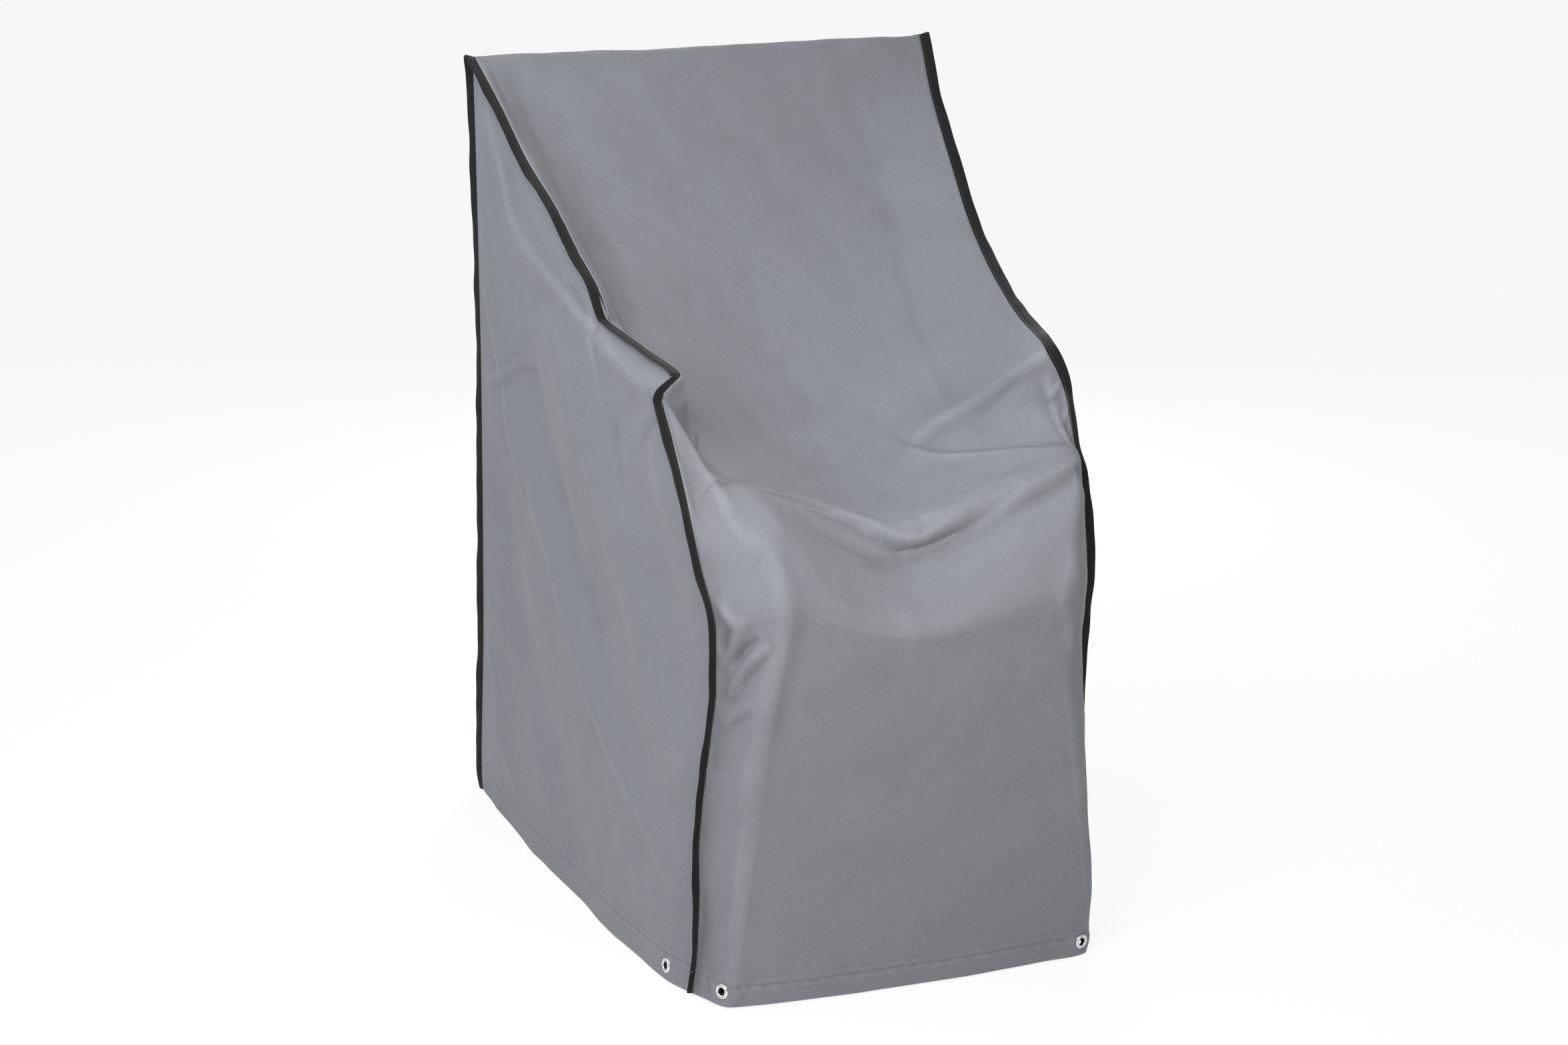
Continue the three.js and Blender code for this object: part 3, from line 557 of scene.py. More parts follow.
def spread(*stretches: tuple[float, float, float]) -> np.ndarray:
    """Spreads places over stretches that follow each other.

    Args:
        stretches: First place, last place and largest step of each.

    Returns:
        Rising places, with each end shared by the next stretch.
    """
    parts = []
    for first, last, step in stretches:
        count = max(1, math.ceil((last - first) / step))
        parts.append(np.linspace(first, last, count + 1)[:-1])
    parts.append(np.array([stretches[-1][1]]))
    return np.concatenate(parts)


def every(count: int, step: int, dense_from: int) -> np.ndarray:
    """Row numbers from 0 to count - 1, one in step of them up to dense_from and then all."""
    return np.array([*range(0, dense_from, step), *range(dense_from, count)])


@dataclass(frozen=True)
class TurnedHem:
    """How the turned hem stands out from the single cloth.

    Attributes:
        stitch: Height of the stitch row above the hem's edge.
        outside: How far the doubled cloth stands proud outside.
        inside: How far it stands proud inside.
        roll: Distance from the edge over which the turned cloth rounds off.
        groove: How deep the thread pulls the cloth in.
        pucker: Height of the small waves beside the stitch row.
        pucker_length: Distance along the hem in which a small wave turns by one radian.
        step: Distances above the stitch row where the doubled cloth begins to end, and has ended.
    """

    stitch: float
    outside: float = 0.7
    inside: float = 0.8
    roll: float = 1.7
    groove: float = 0.9
    pucker: float = 0.4
    pucker_length: float = 3.3
    step: tuple[float, float] = (2, 7)

    GROOVE_REACH = 1.8  # how far the groove reaches from the thread
    PUCKER_BELOW, PUCKER_REACH = 3, 6  # where the small waves are highest, and how far they reach
    PUCKER_BEND, PUCKER_BEND_LENGTH = 1.4, 19  # how unevenly they follow each other
    EDGE_LEFT = 0.08  # share of the thickness, squared, that is left at the very edge

    def thickness(self, above: np.ndarray, sideways: np.ndarray) -> tuple[np.ndarray, np.ndarray]:
        """The cloth's two faces, measured from the net along its outward direction.

        Args:
            above: Distance of each point from the hem's edge.
            sideways: Distance along the hem.

        Returns:
            Where the outer face lies, and where the inner face lies.
        """
        low, high = self.step
        doubled = 1 - ease(self.stitch + low, self.stitch + high, above)
        thread = np.exp(-(((above - self.stitch) / self.GROOVE_REACH) ** 2))
        near = np.exp(-(((above - self.stitch + self.PUCKER_BELOW) / self.PUCKER_REACH) ** 2))
        bend = self.PUCKER_BEND * np.sin(sideways / self.PUCKER_BEND_LENGTH)
        waves = near * np.sin(sideways / self.pucker_length + bend)
        outer = CLOTH + self.outside * doubled - self.groove * thread + self.pucker * waves
        inner = -self.inside * doubled
        middle = (outer + inner) / 2
        from_roll = 1 - np.clip(above / self.roll, 0, 1)
        round_off = np.sqrt(np.clip(1 - from_roll**2, self.EDGE_LEFT, 1))
        return middle + (outer - middle) * round_off, middle + (inner - middle) * round_off


@dataclass(frozen=True)
class EyeletSeat:
    """Where an eyelet is pressed into a hem, in millimetres above the hem.

    Attributes:
        centre: A point of the net on the eyelet's axis.
        facing: The way that the eyelet faces.
    """

    centre: np.ndarray
    facing: np.ndarray

    FIT = 0.75  # reach of the cloth that sets the plane, in flanges
    FLAT, FREE = 0.55, 1.1  # how far the cloth lies flat, and where it hangs free again, in flanges
    CUTTER_SIDES = 40

    @classmethod
    def on(cls, node: str, net: np.ndarray) -> EyeletSeat:
        """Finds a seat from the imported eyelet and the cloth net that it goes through.

        Args:
            node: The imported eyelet.
            net: Net of the cloth, in millimetres above the hem.

        Returns:
            The seat, in the plane that lies closest to the cloth there.
        """
        low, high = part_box(node)
        middle = (np.array(low) + np.array(high)) / 2 / MM + CARRIER
        points = net.reshape(-1, 3)
        near = np.linalg.norm(points - middle, axis=1) < cls.FIT * EYELET_FLANGE
        centre = points[near].mean(0)
        facing = np.linalg.svd(points[near] - centre)[2][2]
        outward = net_normals(net).reshape(-1, 3)[near].mean(0)
        facing = facing * np.sign(facing @ outward)
        return cls(middle - facing * ((middle - centre) @ facing), facing)

    def flattened(self, net: np.ndarray) -> np.ndarray:
        """Draws the cloth round the eyelet into the eyelet's plane.

        Args:
            net: Net of the cloth, in millimetres above the hem.

        Returns:
            The flattened net.
        """
        offset = net - self.centre
        above = offset @ self.facing
        radius = np.linalg.norm(offset - above[..., None] * self.facing, axis=-1)
        share = 1 - ease(self.FLAT * EYELET_FLANGE, self.FREE * EYELET_FLANGE, radius)
        share = np.where(np.abs(above) < EYELET_FLANGE, share, 0)
        return net - (share * above)[..., None] * self.facing

    def turn(self) -> Matrix:
        """The matrix that puts a piece made round +Z at the origin onto the seat."""
        spot = Matrix.Translation(Vector(in_frame(self.centre)))
        return spot @ Vector(self.facing).to_track_quat("Z", "Y").to_matrix().to_4x4()

    def cut(self, cloth: bpy.types.Object) -> None:
        """Cuts the hole for the eyelet's barrel.

        Args:
            cloth: The piece to cut.
        """
        select_none()
        bpy.ops.mesh.primitive_cylinder_add(
            vertices=self.CUTTER_SIDES,
            radius=(EYELET_HOLE / 2 + CUT_MARGIN) * MM,
            depth=1.2 * EYELET_FLANGE * MM,
        )
        cutter = bpy.context.object
        cutter.data.transform(self.turn())
        cutter.matrix_world = Matrix.Identity(4)
        hole = cloth.modifiers.new("hole", "BOOLEAN")
        hole.object = cutter
        hole.operation = "DIFFERENCE"
        hole.solver = "EXACT"
        select_only(cloth)
        bpy.ops.object.modifier_apply(modifier=hole.name)
        bpy.data.objects.remove(cutter)


def crest_of(net: np.ndarray, reach: int = 2, full: float = 1.5) -> np.ndarray:
    """How far each point of a net stands out from its neighbours.

    Args:
        net: Points of the cloth, in millimetres above the hem.
        reach: How many rows away the neighbours are.
        full: How far a point stands out on a sharp crest, over the distance CREST_OVER.

    Returns:
        For each point, 1 on a sharp crest and -1 in a sharp crease.
    """
    normal = net_normals(net)
    bulge = np.zeros(net.shape[:2])
    for axis in (0, 1):
        size = net.shape[axis]
        at = np.arange(size)
        before = np.take(net, np.clip(at - reach, 0, size - 1), axis)
        after = np.take(net, np.clip(at + reach, 0, size - 1), axis)
        apart = np.linalg.norm(after - before, axis=-1) / 2
        stands_out = np.sum((net - (before + after) / 2) * normal, -1)
        bulge += stands_out * (CREST_OVER / np.maximum(apart, CREST_LEAST)) ** 2
    return np.clip(bulge / full, -1, 1)


@dataclass
class LongStrip:
    """The grey strip from the front hem over the seat, backrest and top to the rear hem.

    Attributes:
        hem: Its turned hem.
        swells: Its low swells.
        columns: Steps across the strip.
        inner_step: How many rows of the outer face one row of the inner face spans.
        edge_fade: Distance from a seam over which folds fade out.
        outer: Net of its outer face, once built.
        along: Cut distance of each row of that net, once built.
        seats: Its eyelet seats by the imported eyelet's name, once built.
    """

    hem: TurnedHem = TurnedHem(stitch=28.0)
    swells: tuple[Waves, ...] = (Waves(170, 1.4, 5), Waves(60, 0.35, 8))
    columns: int = 156
    inner_step: int = 5
    edge_fade: float = 14.0
    outer: np.ndarray | None = None
    along: np.ndarray | None = None
    seats: dict[str, EyeletSeat] = field(default_factory=dict)

    def build(self) -> bpy.types.Object:
        """Builds the strip with its turned hems and the holes for the two front eyelets.

        Returns:
            The piece.
        """
        u = np.linspace(-1, 1, self.columns + 1)
        along = spread(
            (REAR, REAR + 2.4, 0.8), (REAR + 2.4, REAR + 50, 5), (REAR + 50, -50, 16), (-50, 50, 4),
            (50, 600, 5.4), (600, 1110, 3.7), (1110, FRONT - 50, 5.4), (FRONT - 50, FRONT - 2.4, 2.8),
            (FRONT - 2.4, FRONT, 0.8),
        )
        base = self.base(u, along)
        across = np.repeat((u * HALF_STRIP)[:, None], len(along), 1)
        down = np.repeat(along[None, :], len(u), 0)
        fade = ease(0, self.edge_fade, HALF_STRIP - np.abs(across))
        lift = sum(fold.lift(across, down) for fold in STRIP_FOLDS)
        for swell in self.swells:
            lift = lift + swell.lift(across, down)
        folded = base + net_normals(base) * (fade * lift)[..., None]
        for side in Side:
            node = f"eyelet-front-{side.word}"
            self.seats[node] = EyeletSeat.on(node, folded)
            folded = self.seats[node].flattened(folded)
        normals = net_normals(folded)
        outside, inside = self.hem.thickness(np.minimum(FRONT - down, down - REAR), across)
        kept = every(len(along), self.inner_step, len(along) - HEM_ROWS)
        self.outer = folded + normals * outside[..., None]
        self.along = along
        inner = (folded + normals * inside[..., None])[:, kept]
        cut = np.stack([across, down], -1)
        piece = ClothMesh("strip_cloth", self.outer, inner, kept, cut).build()
        for seat in self.seats.values():
            seat.cut(piece)
        return piece

    @staticmethod
    def base(u: np.ndarray, along: np.ndarray) -> np.ndarray:
        """The strip before its folds.

        Args:
            u: Places across, from -1 at the left seam to 1 at the right seam.
            along: Cut distances from the top fold.

        Returns:
            Points by place across and cut distance.
        """
        knots = (-1, FOOT_LEFT_ACROSS / HALF_STRIP, 0, FOOT_RIGHT_ACROSS / HALF_STRIP, 1)
        tables = (SEAM_LEFT, FOOT_LEFT, MIDDLE, FOOT_RIGHT, SEAM_RIGHT)
        lines = np.stack([SmoothLine.of(table)(along)[:, :3] for table in tables])
        return SmoothLine(knots, lines)(u)

    def stitch_paths(self) -> list[StitchPath]:
        """Finds the stitch rows of its front and rear hems.

        Returns:
            One path for each hem.
        """
        normals = net_normals(self.outer)
        paths = []
        for place in (FRONT - self.hem.stitch, REAR + self.hem.stitch):
            row = int(np.argmin(np.abs(self.along - place)))
            paths.append(StitchPath(self.outer[:, row], normals[:, row]))
        return paths


@dataclass
class SidePanel:
    """A grey side panel, with its turned hem.

    Attributes:
        side: Which side it closes.
        hem: Its turned hem.
        columns: Steps from the rear seam to the front seam.
        step: Distance between rows.
        inner_step: How many rows of the outer face one row of the inner face spans.
        soften: Reach over which kinks of the slope's seam even out lower down.
        edge_fade: Share of the depth over which folds fade out towards the rear and front seams.
        slope_fade: Share of the height over which they fade out towards the slope.
        outer: Net of its outer face, once built.
        above: Distance of each row of that net from the hem's edge, once built.
        seats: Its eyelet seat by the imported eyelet's name, once built.
    """

    side: Side
    hem: TurnedHem = TurnedHem(stitch=36.0)
    columns: int = 150
    step: float = 5.2
    inner_step: int = 5
    soften: float = 110.0
    edge_fade: float = 0.07
    slope_fade: float = 0.05
    outer: np.ndarray | None = None
    above: np.ndarray | None = None
    seats: dict[str, EyeletSeat] = field(default_factory=dict)

    @property
    def seam(self) -> SmoothLine:
        """The seam line round the panel."""
        return SmoothLine.of(SEAM_LEFT if self.side is Side.LEFT else SEAM_RIGHT)

    @property
    def foot(self) -> SmoothLine:
        """The panel's lower edge."""
        return SmoothLine.of(SIDE_HEM_LEFT if self.side is Side.LEFT else SIDE_HEM_RIGHT)

    @property
    def tip(self) -> float:
        """Cut distance from the top fold to the arm tip."""
        return TIP_LEFT if self.side is Side.LEFT else TIP_RIGHT

    @property
    def swells(self) -> tuple[Waves, ...]:
        """Its low swells, of its own on each side."""
        seed = 21 if self.side is Side.LEFT else 34
        return Waves(190, 1.6, seed), Waves(64, 0.35, seed + 1)

    def base(self, depth: np.ndarray, height: np.ndarray) -> np.ndarray:
        """The panel before its folds, a patch between its four edges.

        Args:
            depth: Shares of the way from the rear seam to the front seam.
            height: Shares of the way from the hem to the slope.

        Returns:
            Points by depth and height.
        """
        seam = self.seam
        hem_share = HEM / (FRONT - self.tip)
        rear_at = np.where(
            height < hem_share,
            REAR + HEM * height / hem_share,
            (REAR + HEM) * (1 - (height - hem_share) / (1 - hem_share)),
        )
        low = self.foot(depth)[:, None, :]
        kinked = seam(depth * self.tip)[:, :3]
        reach = np.minimum(self.tip * np.minimum(depth, 1 - depth), self.soften)
        shifts = np.linspace(-1, 1, 9)
        even = np.mean([seam(depth * self.tip + shift * reach)[:, :3] for shift in shifts], 0)
        high = even[:, None] + (kinked - even)[:, None] * (height**6)[None, :, None]
        rear = seam(rear_at)[None, :, :3]
        front = seam(FRONT - (FRONT - self.tip) * height)[None, :, :3]
        a, b = depth[:, None, None], height[None, :, None]
        foot_corners = (1 - b) * ((1 - a) * low[:1] + a * low[-1:])
        slope_corners = b * ((1 - a) * high[:1] + a * high[-1:])
        return (1 - b) * low + b * high + (1 - a) * rear + a * front - foot_corners - slope_corners

    def build(self) -> bpy.types.Object:
        """Builds the panel with its turned hem and the hole for its eyelet.

        Returns:
            The piece.
        """
        depth = np.linspace(0, 1, self.columns + 1)
        rise = FRONT - self.tip
        up = spread((0, 2.4, 0.8), (2.4, 52, 2.8), (52, rise, self.step * rise / 1000))
        height = up / rise
        base = self.base(depth, height)
        y, z = base[..., 1], base[..., 2]
        d = np.repeat(depth[:, None], len(height), 1)
        h = np.repeat(height[None, :], len(depth), 0)
        fade = ease(0, self.edge_fade, np.minimum(d, 1 - d)) * ease(0, self.slope_fade, 1 - h)
        lift = sum(fold.lift(y, z) for fold in SIDE_FOLDS)
        for swell in self.swells:
            lift = lift + swell.lift(y, z)
        folded = base.copy()
        folded[..., 0] += self.side.value * fade * lift
        cut = np.stack([y, h * rise], -1)
        if self.side is Side.LEFT:
            folded, cut = folded[::-1], cut[::-1]
        node = f"eyelet-side-{self.side.word}"
        seat = EyeletSeat.on(node, folded)
        self.seats[node] = seat
        folded = seat.flattened(folded)
        normals = net_normals(folded)
        outside, inside = self.hem.thickness(cut[..., 1], cut[..., 0])
        coarse = range(HEM_ROWS, len(height), self.inner_step)
        kept = np.array(sorted({*range(HEM_ROWS), *coarse, len(height) - 1}))
        self.outer = folded + normals * outside[..., None]
        self.above = up
        inner = (folded + normals * inside[..., None])[:, kept]
        piece = ClothMesh(f"side_cloth_{self.side.word}", self.outer, inner, kept, cut).build()
        seat.cut(piece)
        return piece

    def stitch_paths(self) -> list[StitchPath]:
        """The stitch row of its hem."""
        row = int(np.argmin(np.abs(self.above - self.hem.stitch)))
        return [StitchPath(self.outer[:, row], net_normals(self.outer)[:, row])]


@dataclass
class Binding:
    """The black tape that closes a side panel's seam and stands out from it.

    Attributes:
        side: Which side panel it goes round.
        width: How far it stands out from the seam.
        root: How far it reaches in past the seam.
        thickness: Thickness of the folded tape.
        step: Distance between sections.
        stitch: Distance of its stitch row from the seam.
        trim: How far the tape's lower end is cut up, as a share of its width.
        trimmed: Length over which it is cut up.
        sunk: Half the thickness at the stitch row, as a share of the rest.
    """

    side: Side
    width: float = TAPE
    root: float = 1.5
    thickness: float = 2.4
    step: float = 5.0
    stitch: float = 2.6
    trim: float = 0.32
    trimmed: float = 30.0
    sunk: float = 0.62

    SWAY = ((3.0, 23.0, 0.0), (2.0, 9.1, 1.3))  # waves of its lean, in degrees
    WANDER = ((0.5, 31.0, 0.0), (0.35, 13.0, 0.7))  # waves of its outer edge

    @property
    def table(self) -> Table:
        """The seam that the tape follows."""
        return SEAM_LEFT if self.side is Side.LEFT else SEAM_RIGHT

    @staticmethod
    def uneven(waves: Table, along: np.ndarray) -> np.ndarray:
        """The sum of waves, given as rows of height, length of one radian and phase."""
        return sum(height * np.sin(along / length + phase) for height, length, phase in waves)

    def sections(self, along: np.ndarray) -> tuple[np.ndarray, np.ndarray, np.ndarray]:
        """Works out how the tape stands at places of its seam.

        Args:
            along: Cut distances from the top fold.

        Returns:
            Points of the seam, the ways that the tape stands out there, and the ways that its faces look.
        """
        line = SmoothLine.of(self.table)
        rows = line(along)
        root = rows[:, :3]
        way = line(along + 4)[:, :3] - line(along - 4)[:, :3]
        way /= np.linalg.norm(way, axis=1, keepdims=True)
        lean = np.radians(rows[:, 3] + self.uneven(self.SWAY, along))
        face = np.stack([np.zeros(len(way)), way[:, 2], -way[:, 1]], 1)
        face /= np.linalg.norm(face, axis=1, keepdims=True)
        sideways = np.array([self.side.value, 0, 0])
        out = face * np.sin(lean)[:, None] + sideways * np.cos(lean)[:, None]
        out -= way * np.sum(out * way, 1, keepdims=True)
        out /= np.linalg.norm(out, axis=1, keepdims=True)
        return root, out, np.cross(way, out)

    def profile(self) -> np.ndarray:
        """Draws the tape's section, closed, with a round fold and a sunk stitch line.

        Returns:
            Rows of reach from the seam and distance to the side.
        """
        half = self.thickness / 2
        turns = np.linspace(math.pi / 2, -math.pi / 2, 7)
        fold = [(self.width - half + half * math.cos(a), half * math.sin(a)) for a in turns]
        line = self.stitch
        top = [
            (-self.root, half * 0.8),
            (line - 1, half),
            (line, half * self.sunk),
            (line + 1, half),
            (8, half * 1.08),
        ]
        bottom = [(reach, -side) for reach, side in reversed(top)]
        return np.array(top + fold + bottom)

    def build(self) -> bpy.types.Object:
        """Sweeps the section along the seam, with closer steps round the top corner and the arm tip.

        Returns:
            The piece.
        """
        along = spread(
            (REAR, -40, 2 * self.step),
            (-40, 60, 3),
            (60, 700, self.step),
            (700, 850, 3),
            (850, FRONT, self.step),
        )
        root, out, flat = self.sections(along)
        profile = self.profile()
        outer_part = np.where(profile[:, 0] > self.stitch + 2, 1, 0)
        reach = profile[None, :, 0] + outer_part[None, :] * self.uneven(self.WANDER, along)[:, None]
        points = root[:, None] + reach[..., None] * out[:, None] + profile[None, :, 1, None] * flat[:, None]
        cut_up = ease(FRONT - self.trimmed, FRONT, along)
        points[..., 2] += self.trim * cut_up[:, None] * np.maximum(reach, 0)
        count, rings = len(profile), len(along)
        net = np.arange(rings * count).reshape(rings, count)
        turned = np.roll(net, -1, 1)
        faces = np.stack([net[:-1], turned[:-1], turned[1:], net[1:]], -1).reshape(-1, 4).tolist()
        faces += [net[0, ::-1].tolist(), net[-1].tolist()]
        across = np.repeat(profile[None, :, 0], rings, 0)
        places = np.stack([across, np.repeat(along[:, None], count, 1)], -1)
        piece = mesh_piece(f"tape_{self.side.word}", points.reshape(-1, 3), faces, places.reshape(-1, 2))
        select_only(piece)
        bpy.ops.object.mode_set(mode="EDIT")
        bpy.ops.mesh.select_all(action="SELECT")
        bpy.ops.mesh.normals_make_consistent(inside=False)
        bpy.ops.object.mode_set(mode="OBJECT")
        bpy.ops.object.shade_smooth_by_angle(angle=math.radians(50))
        return piece

    def stitch_paths(self) -> list[StitchPath]:
        """Finds the stitch row of the tape, which shows on both of its faces.

        Returns:
            One path for each face.
        """
        along = np.arange(REAR + 3, FRONT - 3, 3.0)
        root, out, flat = self.sections(along)
        line = root + out * self.stitch
        stand = self.thickness / 2 * self.sunk + 0.1
        return [StitchPath(line + flat * stand * face, flat * face) for face in (1, -1)]

    def crossing_paths(self, height: float) -> list[StitchPath]:
        """Where the hem's stitch row runs on across the tape, on both of its faces.

        Args:
            height: Height of the stitch row above the front hem's edge.

        Returns:
            One path for each face.
        """
        root, out, flat = self.sections(np.array([FRONT - height]))
        reach = np.arange(-0.5, self.width + 0.5, 1.5)[:, None]
        line = root + out * reach
        stand = self.thickness / 2 + 0.25
        outward = np.repeat(flat, len(reach), 0)
        return [StitchPath(line + outward * stand * face, outward * face) for face in (1, -1)]


def mesh_piece(name: str, points: np.ndarray, faces: list[list[int]], uv: np.ndarray) -> bpy.types.Object:
    """Makes a piece from points in millimetres above the hem.

    Args:
        name: Name of the piece.
        points: Its vertices.
        faces: Vertex numbers of each face.
        uv: A pair of cut coordinates for each vertex, in millimetres.

    Returns:
        The object, whose UV map "cut" holds the coordinates in metres.
    """
    mesh = bpy.data.meshes.new(name)
    mesh.from_pydata(in_frame(points).tolist(), [], faces)
    layer = mesh.uv_layers.new(name="cut")
    corners = np.empty(len(mesh.loops), int)
    mesh.loops.foreach_get("vertex_index", corners)
    layer.data.foreach_set("uv", (uv[corners] * MM).ravel())
    mesh.polygons.foreach_set("use_smooth", [True] * len(mesh.polygons))
    mesh.update()
    piece = bpy.data.objects.new(name, mesh)
    bpy.context.scene.collection.objects.link(piece)
    return piece


@dataclass(frozen=True)
class StitchPath:
    """A line that a row of stitches follows, in millimetres above the hem.

    Attributes:
        points: Points of the line.
        normals: The way out of the cloth at each point.
    """

    points: np.ndarray
    normals: np.ndarray

    def spots(self, pitch: float) -> tuple[np.ndarray, np.ndarray, np.ndarray]:
        """Finds even places along the line.

        Args:
            pitch: Distance from place to place.

        Returns:
            The places, the way along the line and the way out of the cloth at each.
        """
        steps = np.linalg.norm(np.diff(self.points, axis=0), axis=1)
        travelled = np.concatenate([[0], np.cumsum(steps)])
        at = np.arange(pitch / 2, travelled[-1], pitch)

        def read(rows: np.ndarray, where: np.ndarray) -> np.ndarray:
            """Rows read at distances along the line."""
            return np.stack([np.interp(where, travelled, column) for column in rows.T], 1)

        way = read(self.points, at + pitch / 4) - read(self.points, at - pitch / 4)
        way /= np.linalg.norm(way, axis=1, keepdims=True)
        out = read(self.normals, at)
        out -= way * np.sum(out * way, 1, keepdims=True)
        out /= np.linalg.norm(out, axis=1, keepdims=True)
        return read(self.points, at), way, out


@dataclass(frozen=True)
class Stitching:
    """Rows of lock stitches of one thread.

    Attributes:
        name: Name of the joined piece.
        pitch: Distance from stitch to stitch.
        length: Length of the thread that shows in each.
        radius: Half the thread's thickness.
        slant: How far stitches turn from their line at most, in radians.
    """

    name: str
    pitch: float = 4.0
    length: float = 3.3
    radius: float = 0.36
    slant: float = 0.12

    def one(self) -> tuple[np.ndarray, list[list[int]]]:
        """Models one stitch along X, bent down at its ends.

        Returns:
            Its points in millimetres, and the vertex numbers of its faces.
        """
        select_none()
        bpy.ops.mesh.primitive_cylinder_add(
            vertices=6, radius=self.radius, depth=0.5 * self.length, rotation=(0, math.pi / 2, 0)
        )
        stitch = bpy.context.object
        bpy.ops.object.transform_apply(location=False, rotation=True, scale=False)
        for way in (1, -1):
            select_faces(stitch, lambda face, way=way: face.normal.x * way > 0.9)
            bpy.ops.object.mode_set(mode="EDIT")
            bpy.ops.mesh.extrude_region_move(
                TRANSFORM_OT_translate={"value": (way * 0.25 * self.length, 0, -0.7 * self.radius)}
            )
            bpy.ops.transform.resize(value=(0.6, 0.6, 0.6))
            bpy.ops.object.mode_set(mode="OBJECT")
        mesh = stitch.data
        points = np.array([v.co for v in mesh.vertices])
        faces = [list(face.vertices) for face in mesh.polygons]
        bpy.data.objects.remove(stitch)
        bpy.data.meshes.remove(mesh)
        return points, faces

    def build(self, paths: Sequence[StitchPath]) -> bpy.types.Object:
        """Sets a copy of the stitch at each place of the paths and joins them.

        Args:
            paths: The rows.

        Returns:
            The joined stitches.
        """
        shape, shape_faces = self.one()
        points, faces, uv = [], [], []
        for path in paths:
            for n, (spot, way, out) in enumerate(zip(*path.spots(self.pitch))):
                turn = self.slant * math.sin(2.1 * n)
                way = way * math.cos(turn) + np.cross(out, way) * math.sin(turn)
                side = np.cross(out, way)
                first = len(points) * len(shape)
                points.append(spot + shape @ np.stack([way, side, out]))
                faces += [[first + v for v in face] for face in shape_faces]
                uv.append(shape[:, :2] + np.array([self.pitch * n, 0]))
        return mesh_piece(self.name, np.concatenate(points), faces, np.concatenate(uv))


